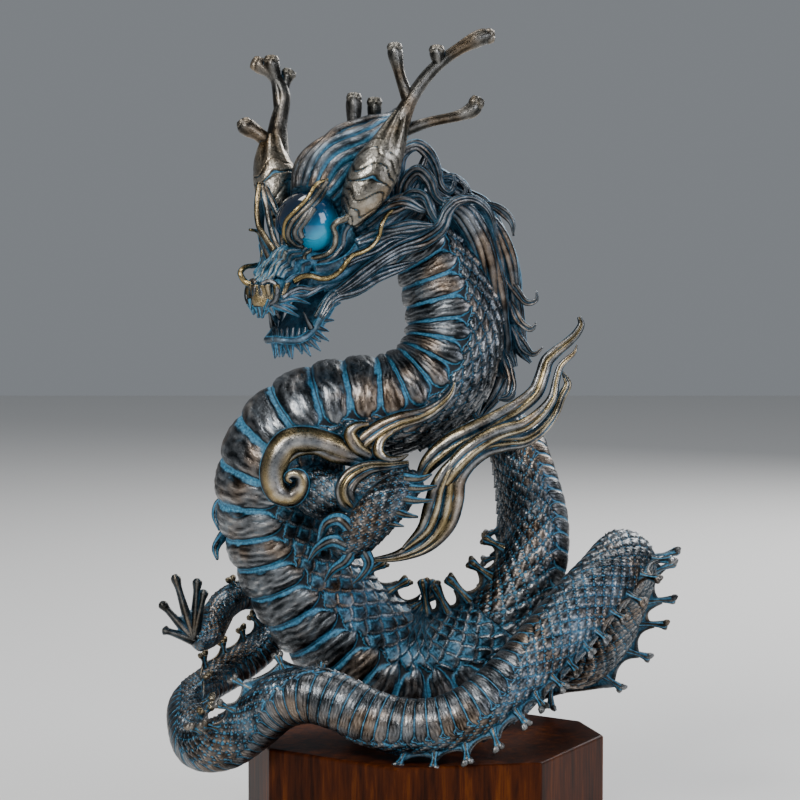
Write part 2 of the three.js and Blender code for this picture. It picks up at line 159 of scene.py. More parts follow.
def patinated_bronze(name):
    """Cast bronze, dark with worn pewter-bright high spots, blue-green patina lying in the recesses,
    and gilding where the piece is gilt. The eye sees broken metal glints over matt blue hollows.
    Shade is painted into the colour as well: darker where the ambient occlusion finds the surface closed
    in, and darker still in the lowest relief, the grooves and creases."""
    made, tree = new_material(name)
    place = node(tree, "ShaderNodeTexCoord")
    relief = node(tree, "ShaderNodeAttribute", attribute_name="relief")
    patina = node(tree, "ShaderNodeAttribute", attribute_name="patina")
    gilt = node(tree, "ShaderNodeAttribute", attribute_name="gilt")
    shade = node(tree, "ShaderNodeAmbientOcclusion", samples=6, in_Distance=5 * MM)
    cloud = noise(tree, place, "Object", 110.0, 5.0, in_Roughness=0.6)
    speck = noise(tree, place, "Object", 900.0, 3.0, in_Roughness=0.7)
    drift = noise(tree, place, "Object", 22.0, 3.0)

    # hollow: 1 in recesses, from the carved relief and from how closed in the surface is
    closed = map_range(tree, shade, "AO", 0.82, 0.25)
    sunk = map_range(tree, relief, "Fac", 0.62, 0.12)
    hollow = math_node(tree, "MAXIMUM", (closed, 0), (sunk, 0))
    broken = math_node(tree, "MULTIPLY_ADD", (cloud, 0), value=1.1, clamp=False)
    broken.inputs[2].default_value = -0.55
    wash = math_node(tree, "ADD", (hollow, 0), (broken, 0))
    spread = map_range(tree, patina, "Fac", 0.0, 1.0, -0.6, 0.62)
    spread.interpolation_type = "LINEAR"
    laid = math_node(tree, "ADD", (wash, 0), (spread, 0))
    mask = map_range(tree, laid, 0, 0.0, 0.92)

    # metal: dark in the low places and worn bright on the crests; the ambient occlusion multiplied in
    # paints shade into closed-in places, and on plain rods the relief paints a highlight down the middle
    high = math_node(tree, "MULTIPLY_ADD", (relief, "Fac"), value=0.75, clamp=False)
    high.inputs[2].default_value = -0.06
    rubbed_and_painted_light = math_node(tree, "ADD", (high, 0), (broken, 0))
    # painted shade: the ambient occlusion darkens the metal and gilt tones in closed-in places
    painted_light_on_wear = math_node(tree, "MULTIPLY", (rubbed_and_painted_light, 0), (shade, "AO"))
    cool = ramp(tree, painted_light_on_wear, 0, [(0.0, "#0a0c0e"), (0.3, "#2a2e31"), (0.62, "#777a7d"), (1.0, "#d3d0cb")])
    warm = ramp(tree, painted_light_on_wear, 0, [(0.0, "#0e0a07"), (0.3, "#30271f"), (0.62, "#857668"), (1.0, "#dccdbb")])
    rust = noise(tree, place, "Object", 48.0, 4.0)
    worn = map_range(tree, rust, 0, 0.47, 0.68)
    metal = blend(tree, (worn, 0), (cool, 0), (warm, 0))
    gold = ramp(tree, painted_light_on_wear, 0, [(0.0, "#18150e"), (0.25, "#4f452d"), (0.6, "#a08b60"), (1.0, "#efe3c4")])
    gilded = map_range(tree, gilt, "Fac", 0.15, 0.75)
    bare = blend(tree, (gilded, 0), (metal, 2), (gold, 0))
    blue = ramp(tree, speck, 0, [(0.25, "#164255"), (0.5, "#3c80a0"), (0.75, "#84bcd4")])
    tint = ramp(tree, drift, 0, [(0.35, "#4aa6cc"), (0.65, "#7cc4cf")])
    wet = blend(tree, None, (blue, 0), (tint, 0), blend_type="MULTIPLY", in_0=0.35)
    covered = blend(tree, (mask, 0), (bare, 2), (wet, 2))
    # painted shade: the colour is darkened where the ambient occlusion finds the surface closed in
    painted_ao_shade = ramp(tree, shade, "AO", [(0.1, "#3c4248"), (0.75, "#ffffff")])
    colour_with_painted_shade = blend(tree, None, (covered, 2), (painted_ao_shade, 0), blend_type="MULTIPLY", in_0=0.7)
    # painted shade: the colour is darkened again in the lowest relief, the grooves and creases
    painted_groove_shade = ramp(tree, relief, "Fac", [(0.0, "#23292e"), (0.17, "#ffffff")])
    colour = blend(tree, None, (colour_with_painted_shade, 2), (painted_groove_shade, 0), blend_type="MULTIPLY", in_0=1.0)
    metallic = map_range(tree, mask, 0, 0.2, 0.8, 1.0, 0.15)
    rough_base = map_range(tree, speck, 0, 0.3, 0.7, 0.24, 0.46)
    rough_bare = math_node(tree, "MULTIPLY_ADD", (gilded, 0), value=-0.08)
    tree.links.new(rough_base.outputs[0], rough_bare.inputs[2])
    rough = math_node(tree, "MULTIPLY_ADD", (mask, 0), value=0.28)
    tree.links.new(rough_bare.outputs[0], rough.inputs[2])
    pits = noise(tree, place, "Object", 1.0 / (GRAIN_MM * MM) / 2, 4.0, in_Roughness=0.65)
    lay = node(tree, "ShaderNodeAttribute", attribute_name="lay")
    streak = noise(tree, lay, "Vector", 1.3, 3.0, in_Roughness=0.6)
    under = node(tree, "ShaderNodeBump", [("Height", streak, 0)], in_Strength=0.7, in_Distance=0.6 * MM)
    bump = node(tree, "ShaderNodeBump", [("Height", pits, 0), ("Normal", under, 0)], in_Strength=0.25,
                in_Distance=0.4 * MM)
    shader = node(
        tree, "ShaderNodeBsdfPrincipled",
        [("Base Color", colour, 2), ("Metallic", metallic, 0), ("Roughness", rough, 0),
         ("Normal", bump, 0)],
    )
    finish_material(tree, shader)
    return made


def orb_glass():
    """Polished blue glass with painted light in its colour: painted shade to almost navy towards the hair,
    and painted light gathered to a bright cyan low on the outer side, with a hard clear shine."""
    made, tree = new_material("polished blue glass")
    place = node(tree, "ShaderNodeTexCoord")
    level = node(tree, "ShaderNodeVectorMath", [(0, place, "Object")], operation="DOT_PRODUCT",
                 in_1=(0.62, 0.0, -0.78))
    cloud = noise(tree, place, "Object", 120.0, 4.0)
    stirred = math_node(tree, "MULTIPLY_ADD", (cloud, 0), value=0.006, clamp=False)
    tree.links.new(level.outputs["Value"], stirred.inputs[2])
    # painted light: along this one direction the colour runs from painted shade to painted gathered light
    painted_glow = map_range(tree, stirred, 0, -0.2565, -0.2345)
    colour = ramp(tree, painted_glow, 0, [(0.0, "#03162a"), (0.45, "#05436b"), (0.8, "#0780ae"), (1.0, "#16b4dc")])
    shader = node(
        tree, "ShaderNodeBsdfPrincipled", [("Base Color", colour, 0)],
        in_Roughness=0.03, in_IOR=1.5, in_Coat_Weight=0.5, in_Coat_Roughness=0.02,
        in_Transmission_Weight=0.25,
    )
    finish_material(tree, shader)
    return made


def varnished_hardwood():
    """Red-brown figured hardwood: vertical grain streaks, darker flecks, a soft thin varnish shine."""
    made, tree = new_material("varnished red-brown hardwood")
    place = node(tree, "ShaderNodeTexCoord")
    grain_map = node(tree, "ShaderNodeMapping", [("Vector", place, "Object")])
    grain_map.inputs["Scale"].default_value = (1.0, 1.0, 0.09)
    streak = noise(tree, grain_map, 0, 380.0, 6.0, in_Roughness=0.62, in_Distortion=0.4)
    figure = noise(tree, grain_map, 0, 70.0, 5.0, in_Distortion=1.2)
    mixed = math_node(tree, "MULTIPLY_ADD", (streak, 0), value=0.55, clamp=False)
    halved = math_node(tree, "MULTIPLY", (figure, 0), value=0.5, clamp=False)
    tree.links.new(halved.outputs[0], mixed.inputs[2])
    colour = ramp(tree, mixed, 0,
                  [(0.32, "#0f0502"), (0.45, "#291005"), (0.56, "#421c07"), (0.7, "#65330c")])
    pore_map = node(tree, "ShaderNodeMapping", [("Vector", place, "Object")])
    pore_map.inputs["Scale"].default_value = (1.0, 1.0, 0.05)
    pore = noise(tree, pore_map, 0, 1200.0, 2.0)
    bump = node(tree, "ShaderNodeBump", [("Height", pore, 0)], in_Strength=0.12, in_Distance=0.2 * MM)
    shader = node(
        tree, "ShaderNodeBsdfPrincipled", [("Base Color", colour, 0), ("Normal", bump, 0)],
        in_Roughness=0.5, in_Coat_Weight=0.03, in_Coat_Roughness=0.1, in_IOR=1.5,
        in_Specular_IOR_Level=0.06,
    )
    finish_material(tree, shader)
    return made


def pale_floor():
    made, tree = new_material("pale matt floor")
    shader = node(tree, "ShaderNodeBsdfPrincipled", in_Roughness=0.8, in_Base_Color=hex_linear("#d9d8d6"))
    finish_material(tree, shader)
    return made


# ---- Smooth curves through stations ----
def smooth(stations, count):
    """A centripetal Catmull-Rom curve through the stations, sampled at `count` even parameters. Columns
    after x, y, z are carried along with the same weights."""
    p = np.asarray(stations, float)
    last = len(p) - 1
    ends = [2 * p[0] - p[1], 2 * p[-1] - p[-2]]
    q = np.vstack([ends[:1], p, ends[1:]])
    t = np.linspace(0, last, count)
    i = np.minimum(t.astype(int), last - 1)
    f = (t - i)[:, None]
    gap = np.maximum(np.linalg.norm(np.diff(q[:, :3], axis=0), axis=1) ** 0.5, 1e-4)[:, None]
    x0, x1, x2, x3 = (q[i + k] for k in range(4))
    d0, d1, d2 = (gap[i + k] for k in range(3))
    m1 = ((x1 - x0) / d0 - (x2 - x0) / (d0 + d1) + (x2 - x1) / d1) * d1
    m2 = ((x2 - x1) / d1 - (x3 - x1) / (d1 + d2) + (x3 - x2) / d2) * d1
    return (
        x1 * (2 * f**3 - 3 * f**2 + 1) + m1 * (f**3 - 2 * f**2 + f)
        + x2 * (3 * f**2 - 2 * f**3) + m2 * (f**3 - f**2)
    )


def unit(v):
    return v / np.maximum(np.linalg.norm(v, axis=-1, keepdims=True), 1e-9)


class Course:
    """A curve with a radius and a back direction at every arc length, all sampled on a fine even grid."""

    def __init__(self, stations, face=None, fine=24):
        rough = smooth(stations, fine * (len(stations) - 1) + 1)
        arc = np.concatenate([[0], np.cumsum(np.linalg.norm(np.diff(rough[:, :3], axis=0), axis=1))])
        self.length = arc[-1]
        self.s = np.linspace(0, self.length, len(rough))
        even = np.stack([np.interp(self.s, arc, rough[:, k]) for k in range(rough.shape[1])], 1)
        self.middle = even[:, :3]
        self.radius = np.maximum(even[:, 3], 0.05)
        self.along = unit(np.gradient(self.middle, axis=0))
        back = even[:, 4:7] if face is None else np.broadcast_to(np.asarray(face, float), self.middle.shape)
        back = back - self.along * (back * self.along).sum(1, keepdims=True)
        self.back = unit(back)
        self.side = np.cross(self.along, self.back)

    def pick(self, table, s):
        shape = np.shape(s)
        flat = np.ravel(s)
        if table.ndim == 1:
            return np.interp(flat, self.s, table).reshape(shape)
        return np.stack([np.interp(flat, self.s, table[:, k]) for k in range(3)], 1).reshape(*shape, 3)

    def point(self, s, angle, height=0.0, flat=1.0):
        """The point at arc length s and `angle` round from the back, `height` above the surface; `flat`
        squashes the section along the back direction."""
        reach = (self.pick(self.radius, s) + height)[..., None]
        out = self.pick(self.back, s) * (np.cos(angle) * flat)[..., None]
        across = self.pick(self.side, s) * np.sin(angle)[..., None]
        return self.pick(self.middle, s) + reach * (out + across)


# ---- Mesh building ----
class Shell:
    """Gathers grids of points (mm) with their relief, patina and gilt, and makes one piece of them."""

    def __init__(self):
        self.points, self.faces, self.values, self.lays, self.count = [], [], [], [], 0

    def add(self, grid, relief=0.5, patina=0.5, gilt=0.0, run=None, grain=(0.1, 1.0)):
        """A grid of closed rings, each end closed to a point. The rings run so that ring direction x along
        direction faces out. `run` is the length along in mm, which with the place across lays the
        streaks; `grain` says how fine they are along and round."""
        n, m = grid.shape[:2]
        value = np.stack(
            [np.broadcast_to(np.asarray(v, float), (n, m)) for v in (relief, patina, gilt)], -1
        )
        index = self.count + np.arange(n * m).reshape(n, m)
        right = np.roll(index, -1, 1)
        quads = np.stack([index[:-1], right[:-1], right[1:], index[1:]], -1).reshape(-1, 4)
        self.faces.append(quads)
        if run is None:
            lay = grid
        else:
            across = ring_angles(m)[None, :]
            reach = np.linalg.norm(grid - grid.mean(1, keepdims=True), axis=-1) * grain[1]
            along = np.broadcast_to(run, (n, m)) * grain[0]
            lay = np.stack([along, reach * np.cos(across), reach * np.sin(across)], -1)
        self.points.append(grid.reshape(-1, 3))
        self.values.append(value.reshape(-1, 3))
        self.lays.append(lay.reshape(-1, 3))
        self.count += n * m
        for row, flip in ((0, False), (n - 1, True)):
            self.points.append(grid[row].mean(0, keepdims=True))
            self.values.append(value[row].mean(0, keepdims=True))
            self.lays.append(lay[row].mean(0, keepdims=True))
            hub = np.full(m, self.count)
            a, b = index[row], right[row]
            self.faces.append(np.stack([a, b, hub, hub] if flip else [b, a, hub, hub], -1))
            self.count += 1

    def piece(self, name, material):
        points = np.vstack(self.points) * MM
        faces = np.vstack(self.faces)
        fan = faces[:, 2] == faces[:, 3]
        corners = np.concatenate([faces[~fan].ravel(), faces[fan][:, :3].ravel()])
        sizes = np.concatenate([np.full((~fan).sum(), 4), np.full(fan.sum(), 3)])
        mesh = bpy.data.meshes.new(name)
        mesh.vertices.add(len(points))
        mesh.vertices.foreach_set("co", points.astype(np.float32).ravel())
        mesh.loops.add(len(corners))
        mesh.loops.foreach_set("vertex_index", corners.astype(np.int32))
        mesh.polygons.add(len(sizes))
        starts = np.concatenate([[0], np.cumsum(sizes)[:-1]])
        mesh.polygons.foreach_set("loop_start", starts.astype(np.int32))
        mesh.polygons.foreach_set("use_smooth", np.ones(len(sizes), bool))
        mesh.update(calc_edges=True)
        mesh.validate()
        values = np.vstack(self.values)
        for k, label in enumerate(("relief", "patina", "gilt")):
            attribute = mesh.attributes.new(label, "FLOAT", "POINT")
            attribute.data.foreach_set("value", values[:, k].astype(np.float32))
        attribute = mesh.attributes.new("lay", "FLOAT_VECTOR", "POINT")
        attribute.data.foreach_set("vector", np.vstack(self.lays).astype(np.float32).ravel())
        mesh.materials.append(material)
        made = bpy.data.objects.new(name, mesh)
        bpy.context.scene.collection.objects.link(made)
        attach(made, "root")
        return made


def ring_angles(count):
    return np.arange(count) / count * 2 * np.pi


def ring_grid(s, count):
    """The places `s` along against `count` angles round, as two grids of the same shape."""
    return np.broadcast_arrays(s[:, None], ring_angles(count)[None, :])


def strand(shell, stations, sides=8, steps=0, face=(0, -1, 0), flat=1.0, patina=0.5, gilt=0.0, flutes=0,
           depth=0.18, low=0.1, bright=None):
    """A tapering rod along a smooth curve. Its section is an ellipse, squashed along `face`, its radius cut
    by `flutes` rounded grooves `depth` deep: r = R (1 - depth |sin(flutes angle / 2)|^1.5). `low` is the
    relief in the grooves, and `bright` sets one relief all over."""
    course = Course(stations, face)
    steps = steps or max(6, int(course.length / 1.6))
    s, angle = ring_grid(np.linspace(0, course.length, steps), sides)
    cut = np.abs(np.sin(flutes * angle / 2)) ** 1.5 if flutes else np.zeros_like(angle)
    grid = course.point(s, angle, -depth * cut * course.pick(course.radius, s), flat)
    # without flutes the relief is high along the front and back, seen along `face`, and low on the flanks:
    # a painted highlight down each rod's middle, with the flanks left darker and patina'd
    relief = 0.85 - (0.85 - low) * cut if flutes else 0.2 + 0.65 * np.cos(angle) ** 2
    relief = relief if bright is None else bright
    shell.add(grid, relief, patina, gilt, s)


# ---- Head frame: a forward along the snout, b to the dragon's left, c up; zero is the orb's middle ----
HEAD_AT = np.array([-52.3, -28, 276])
YAW, PITCH = math.radians(50), math.radians(38)
FORWARD = np.array([-math.cos(YAW) * math.cos(PITCH), -math.sin(YAW) * math.cos(PITCH), -math.sin(PITCH)])
LEFT = np.array([math.sin(YAW), -math.cos(YAW), 0])
UP = np.cross(FORWARD, LEFT)
AXES = np.array([FORWARD, LEFT, UP])
NOSTRIL = np.array([41.5, 4.6, -5.4])


def on_head(stations, radii=None, mirror=1):
    """Head stations (a, b, c, radius) as world stations; `radii` (first, last) fills in missing radii."""
    p = np.array(stations, float)
    if radii is not None:
        p = np.column_stack([p[:, :3], np.linspace(*radii, len(p))])
    p[:, 1] *= mirror
    return np.column_stack([HEAD_AT + p[:, :3] @ AXES, p[:, 3]])


def lock(shell, stations, count=7, twist=0.5, thick=0.42, face=(0, -1, 0), flat=0.7, patina=0.5, gilt=0.0,
         sides=7):
    """A lock of `count` strands laid side by side round a tapering core that follows the stations: strand k
    runs at the angle 2 pi k / count + twist along, its own radius a share `thick` of the core's."""
    core = Course(stations, face)
    steps = max(10, int(core.length / 1.3))
    s = np.linspace(0, core.length, steps)
    t = s / core.length
    for k in range(count):
        spot = 2 * np.pi * (k + rng.uniform(-0.12, 0.12)) / count + twist * 2 * np.pi * t
        reach = 1 - thick * 0.9
        middle = core.point(s, spot, core.pick(core.radius, s) * (reach - 1), flat)
        wave = 0.16 * core.pick(core.radius, s) * np.sin(
            2 * np.pi * (t * rng.uniform(1.2, 2.2) + rng.uniform())
        )
        middle = middle + core.pick(core.side, s) * (wave * np.sin(np.pi * t))[:, None]
        radius = core.pick(core.radius, s) * thick * rng.uniform(0.85, 1.1)
        tips = np.maximum(radius * np.minimum(1, (1 - t) * 9 + 0.25), 0.25)
        rods = np.column_stack([middle, tips])
        strand(shell, rods[:: max(1, steps // 40)], sides=sides, steps=steps, face=face, flat=0.85,
               patina=patina + rng.uniform(-0.15, 0.15), gilt=gilt * rng.uniform(0.7, 1.3))


# ---- The body's course: x, y, z, radius, then the direction of the back ----
SPINE = np.array([
  [-27, -6, 273, 11, 0.5, 0.3, 0.8],
  [-14, 2, 275, 14.5, 0.5, 0.4, 0.8],
  [-1, 4, 266, 16.7, 0.85, 0.3, 0.45],
  [8, 4, 247, 18.9, 1, 0.2, 0.1],
  [11, 2, 227, 19.8, 1, 0.1, -0.1],
  [4, -2, 209, 20, 0.8, 0, -0.6],
  [-13, -6, 198, 20, 0.3, 0, -0.95],
  [-31, -8, 196, 20, 0.1, 0, -1],
  [-50, -8, 191, 21, 0.35, 0, -0.95],
  [-65, -6, 177, 22, 0.75, 0, -0.65],
  [-70, -2, 158, 22, 1, 0, -0.1],
  [-65, 2, 136, 22, 0.95, 0, 0.3],
  [-53, 6, 113, 23, 0.8, 0, 0.6],
  [-36, 10, 93, 24, 0.5, 0, 0.85],
  [-16, 13, 78, 25, 0.2, 0, 1],
  [3, 13, 76, 24.5, -0.15, 0, 1],
  [23, 10, 86, 20.5, -0.5, -0.1, 0.85],
  [38, 8, 104, 16.8, -0.8, -0.2, 0.6],
  [47, 12, 125, 14.2, -1, -0.2, 0.2],
  [49, 18, 142, 13, -1, -0.2, 0],
  [46, 26, 159, 12, -1, -0.1, -0.1],
  [42, 35, 171, 11.8, -1, 0, 0],
  [40, 50, 176, 12, -1, 0, 0],
  [43, 63, 169, 12.4, -1, 0, 0],
  [46, 67, 149, 12.6, -1, 0, 0],
  [47, 66, 125, 12.9, -1, 0, 0],
  [47, 66, 100, 13.4, -1, 0, -0.2],
  [54, 64, 80, 13.8, -0.7, 0, -0.7],
  [67, 58, 76, 13.7, 0, 0.2, -1],
  [78, 50, 87, 13.7, 0.6, 0.3, -0.8],
  [84, 38, 104, 13.5, 0.85, 0.2, -0.4],
  [87, 22, 119, 13.4, 0.9, 0.1, 0.35],
  [85, 5, 126, 13.2, 0.8, -0.6, 0.1],
  [76, -14, 120, 13, 0.6, -0.75, -0.3],
  [65, -28, 111, 13.3, 0.55, -0.75, -0.4],
  [54, -40, 100, 13.2, 0.45, -0.7, -0.55],
  [42, -50, 89, 12.7, 0.4, -0.5, -0.75],
  [30, -58, 79, 12.2, 0.3, -0.25, -0.9],
  [18, -63, 71, 11.7, 0.2, -0.05, -1],
  [4, -65, 66, 11.3, 0, 0.15, -1],
  [-10, -64, 65, 11.3, -0.1, 0.3, -0.95],
  [-24, -61, 68, 11.3, 0, 0.7, -0.7],
  [-37, -57, 73, 11.3, 0.1, 1, -0.1],
  [-51, -52, 76, 11.4, -0.1, 0.8, 0.6],
  [-64, -46, 72, 11.4, -0.4, 0.1, 0.9],
  [-75, -40, 62, 11.1, -0.3, -0.5, 0.75],
  [-88, -32, 52, 11.1, 0, -0.75, 0.6],
  [-100, -20, 49, 10.4, 0.35, -0.6, 0.6],
  [-106, -6, 55, 8.7, 0.8, -0.4, 0.4],
  [-107, 10, 62, 8, 0.8, 0.2, 0.6],
  [-99, 24, 68, 7.6, 0.2, 0.2, 1],
  [-86, 34, 75, 7.7, -0.3, 0.1, 1],
  [-74, 40, 84, 7.2, -0.5, 0, 0.8],
  [-68, 42, 95, 6.8, -0.8, 0, 0.6],
  [-73, 36, 105, 6.3, -0.4, 0, 1],
  [-84, 28, 108, 6.3, 0.1, 0, 1],
  [-93, 18, 103, 6.4, 0.6, 0, 0.8],
  [-98, 9, 94, 6.2, 1, 0, 0.2],
  [-103, 3, 90, 4, 1, 0, -0.4],
], float)
spine = Course(SPINE)


def running_count(course, pitch):
    """How many steps of the varying `pitch` fit from the start to each arc length."""
    rate = 1 / pitch(course.radius)
    return np.concatenate([[0], np.cumsum((rate[1:] + rate[:-1]) / 2 * np.diff(course.s))])


def plate_pitch(radius):
    """Length of a belly plate, mm: in step with the girth, and closer on the slender half of the body."""
    return 0.45 * radius + 2.3 - 2.4 * np.clip((17 - radius) / 4, 0, 1)


def scale_coat(row, around, columns, keel=0.3, taper=0.62, face=0.28):
    """Height and shade, 0 to 1, of overlapping leaf scales at `row` (a count of rows along) and `around`
    (radians, in `columns` columns to the turn). Odd rows are staggered half a column; each scale spans two
    rows, rises to its pointed tip, has a raised rim and a `keel` down its middle, and lies over the next;
    the shade falls to 0 in the crease round each scale. A smaller `taper` gives rounder tips;
    `face` is the shade at a scale's root."""
    height, shade = np.zeros_like(row), np.full_like(row, 0.1)
    open_yet, crease = np.ones(row.shape, bool), np.zeros_like(row)
    for back in (2, 1, 0):
        root = np.floor(row) - back
        u = (row - root) / 2.35
        v = around * columns / (2 * np.pi) + 0.5 * (root % 2)
        v = 2 * (v - np.round(v))
        outline = np.where(u < 1, np.clip(1.45 * np.clip(1 - u, 0, 1) ** taper, 0, 1.02), 2.2 * (1 - u))
        gap = outline - np.abs(v)
        rim = np.exp(-(((gap - 0.16) / 0.15) ** 2))
        ridge = keel * (1 - np.abs(v) / np.maximum(outline, 0.05))
        body = (0.2 + 0.55 * u + 0.22 * rim + ridge) * np.clip(gap / 0.1, 0, 1)
        here = open_yet & (gap > 0)
        height = np.where(here, body * (1 - 0.5 * crease), height)
        shade = np.where(here, (face + 0.22 * u + 0.6 * rim + 0.55 * ridge) * (1 - 0.85 * crease), shade)
        open_yet &= gap <= 0
        crease = np.maximum(crease, np.exp(-((gap / 0.17) ** 2)) * (gap <= 0))
    return height, shade


def belly_plates(count, phi, edge, crisp):
    """Height 0 to 1 of the belly plates at `count` plates along: 1 - |u|^crisp across each. A small `crisp`
    makes pillows and a large one flat bands with narrow grooves; the ends round off past `edge`
    radians."""
    u = 2 * (count % 1) - 1
    run = np.clip((np.abs(phi) - edge) / 0.3, 0, 1)
    half = np.sqrt(np.clip(1 - (1 - run) ** 2, 0, 1))
    across = np.abs(u) / np.maximum(half, 0.05)
    return np.where(across < 1, (1 - across**crisp) * (0.8 + 0.2 * u) * (0.5 + 0.5 * half), 0)


def bark(plates, phi):
    """Wavy wrinkles 0 to 1 that run along the plates and join and part: two sines of the count along, each
    pushed to and fro by a sine of the angle."""
    first = np.sin(
        2 * np.pi * 3.6 * plates + 2.4 * np.sin(4.3 * phi + 1.7 * plates) + 1.1 * np.sin(11 * phi - plates)
    )
    second = np.sin(
        2 * np.pi * 5.3 * plates - 2.1 * np.sin(6.1 * phi - 2.3 * plates) + 0.9 * np.sin(17 * phi)
    )
    return 0.5 + 0.3 * first + 0.2 * second


SCALE_RISE = 0.11  # height of the body's scales as a share of its radius
RIDGE_RISE = 0.05  # height of the ridge on the back, likewise
LIMB_SCALE = 0.13  # height of the limbs' scales as a share of their radius
SLEEVE_LAP = 0.6  # how far a sleeve runs past its ends, mm
SLEEVE_TUCK = 1.2  # how far its end rings are drawn in, mm

# How far round from the back, in degrees, the scales reach at shares of the length.
REACH = np.array([
    [0, 78], [0.3, 78], [0.345, 106], [0.6, 106], [0.66, 116], [0.687, 104], [0.715, 78], [1, 78],
])


def body_piece(name, start, stop, around, step, columns, fineness=1.0, keel=0.45, taper=0.62, face=0.28):
    """The body between two shares of its length, as one closed sleeve: a tube round the spine whose radius
    adds wrinkled belly plates past REACH from the back, leaf scales before that in `columns` round and
    `fineness` times closer rows, and a low ridge on the back."""
    shell = Shell()
    s = np.arange(start * spine.length, stop * spine.length, step)
    s, phi = ring_grid(np.concatenate([[s[0] - SLEEVE_LAP], s, [s[-1] + SLEEVE_LAP]]), around)
    phi = np.where(phi > np.pi, phi - 2 * np.pi, phi)
    radius = spine.pick(spine.radius, s)
    plates = np.interp(s, spine.s, running_count(spine, plate_pitch))
    rows = np.interp(s, spine.s, running_count(spine, lambda r: (0.2 * r + 0.8) / fineness))
    edge = np.radians(np.interp(s / spine.length, REACH[:, 0], REACH[:, 1]))
    edge = edge + 0.05 * np.sin(2 * np.pi * plates)
    stout = np.clip((radius - 14) / 6, 0, 1)
    belly = belly_plates(plates, phi, edge, 4.5 - 1.3 * stout)
    coat, coat_shade = scale_coat(rows, phi, columns, keel, taper, face)
    under = np.abs(phi) > edge
    ridge = np.exp(-((phi / 0.13) ** 2))
    wrinkle = bark(plates, phi)
    plate_height = (0.05 + 0.06 * stout) * radius * belly
    plate_height = plate_height + (0.012 + 0.01 * stout) * radius * wrinkle * belly**0.5
    height = np.where(under, plate_height, SCALE_RISE * radius * coat) + RIDGE_RISE * radius * ridge
    relief = np.where(under, np.clip(1.5 * belly, 0, 1) * (0.5 + 0.5 * wrinkle), coat_shade)
    height[[0, -1]] -= SLEEVE_TUCK
    points = spine.point(s, phi, height)
    x, y, z = np.moveaxis(points, -1, 0)
    low = np.exp(-(((x - 12) / 52) ** 2) - ((z - 80) / 40) ** 2) * (y > -28)
    front = np.clip((-y - 25) / 20, 0, 1)
    patina = np.where(under, 0.5 - 0.2 * front, 0.46 - 0.16 * (fineness > 1.2) + 0.1 * front) + 0.08 * low
    shell.add(points, relief, patina, 0.1, s, grain=(0.7, 0.15))
    return shell.piece(name, bronze)


# How far, in radians, the fin leans from the back to the dragon's left at shares of its length.
FIN_LEAN = np.array([[0, 0], [0.665, 0], [0.705, 0.72], [0.745, 0.72], [0.76, 0], [1, 0]])


def fin_way(s):
    """The directions out along a fin and across it."""
    turn = np.interp(s / spine.length, FIN_LEAN[:, 0], FIN_LEAN[:, 1])[..., None]
    back, side = spine.pick(spine.back, s), spine.pick(spine.side, s)
    return back * np.cos(turn) + side * np.sin(turn), side * np.cos(turn) - back * np.sin(turn)


def fins(shell, start, stop, spacing, reach, gilt, patina):
    """A dorsal fin: bony rays with a waist and a split, flared knob, joined by a thin web whose top edge is
    hollowed between the rays."""
    s0, s1 = start * spine.length, stop * spine.length
    count = max(2, int((s1 - s0) / spacing))
    at = np.linspace(s0, s1, count + 1)
    for s in at:
        arch = 0.55 + 0.45 * math.sin(math.pi * (s - s0 + 6) / (s1 - s0 + 12))
        size = reach * arch * rng.uniform(0.92, 1.08)
        middle, along, r = (spine.pick(table, s) for table in (spine.middle, spine.along, spine.radius))
        back, side = fin_way(s)
        lean = unit(back + along * rng.uniform(0.15, 0.4))
        levels = [(-1.5, 3.0), (0.22, 1.9), (0.48, 1.3), (0.74, 1.7), (0.93, 2.1), (1.0, 1.2)]
        stout = max(1, reach / 13)
        rod = [[*(middle + back * r + lean * (size * h if h > 0 else h)), w * stout] for h, w in levels]
        strand(shell, rod, sides=12, steps=18, face=side, patina=patina, gilt=gilt, flutes=5, depth=0.14)
        for turn in (-1, 1):
            tip = middle + back * r + lean * size * 0.86
            bow, end = tip + along * turn * 1.5 + lean * 1.3, tip + along * turn * 2.6 + lean * 2.2
            ear = [[*tip, 1.3], [*bow, 1.5], [*end, 0.7]]
            strand(shell, ear, sides=9, steps=8, face=side, patina=patina * 0.6, gilt=gilt * 0.75,
                   bright=0.75)
    s, turn = ring_grid(np.linspace(s0, s1, int((s1 - s0) / 0.8)), 10)
    u = ((s - s0) / (s1 - s0) * count) % 1
    arch = 0.55 + 0.45 * np.sin(np.pi * (s - s0) / (s1 - s0))
    rise = reach * (0.28 + 0.42 * np.abs(2 * u - 1) ** 2.2) * arch
    up = spine.pick(spine.radius, s) - 1.2 + (rise + 1.2) * (0.5 + 0.5 * np.cos(turn))
    thick = 0.8 * np.sin(turn)
    back, side = fin_way(s)
    grid = spine.pick(spine.middle, s) + back * up[..., None] + side * thick[..., None]
    shell.add(grid, 0.3 + 0.5 * (0.5 + 0.5 * np.cos(turn)) ** 4, patina, gilt * 0.6, s, grain=(1.0, 0.1))


def arm(shell, stations):
    """A limb coated in small scales: radius + LIMB_SCALE radius x scale_coat."""
    course = Course(stations, (0, -1, 0))
    s, turn = ring_grid(np.linspace(0, course.length, int(course.length / 0.5)), 72)
    rows = np.interp(s, course.s, running_count(course, lambda r: 0.16 * r + 1.5))
    coat, shade = scale_coat(rows, turn, 12)
    grid = course.point(s, turn, LIMB_SCALE * course.pick(course.radius, s) * coat)
    shell.add(grid, shade, 0.4, 0.1, s)


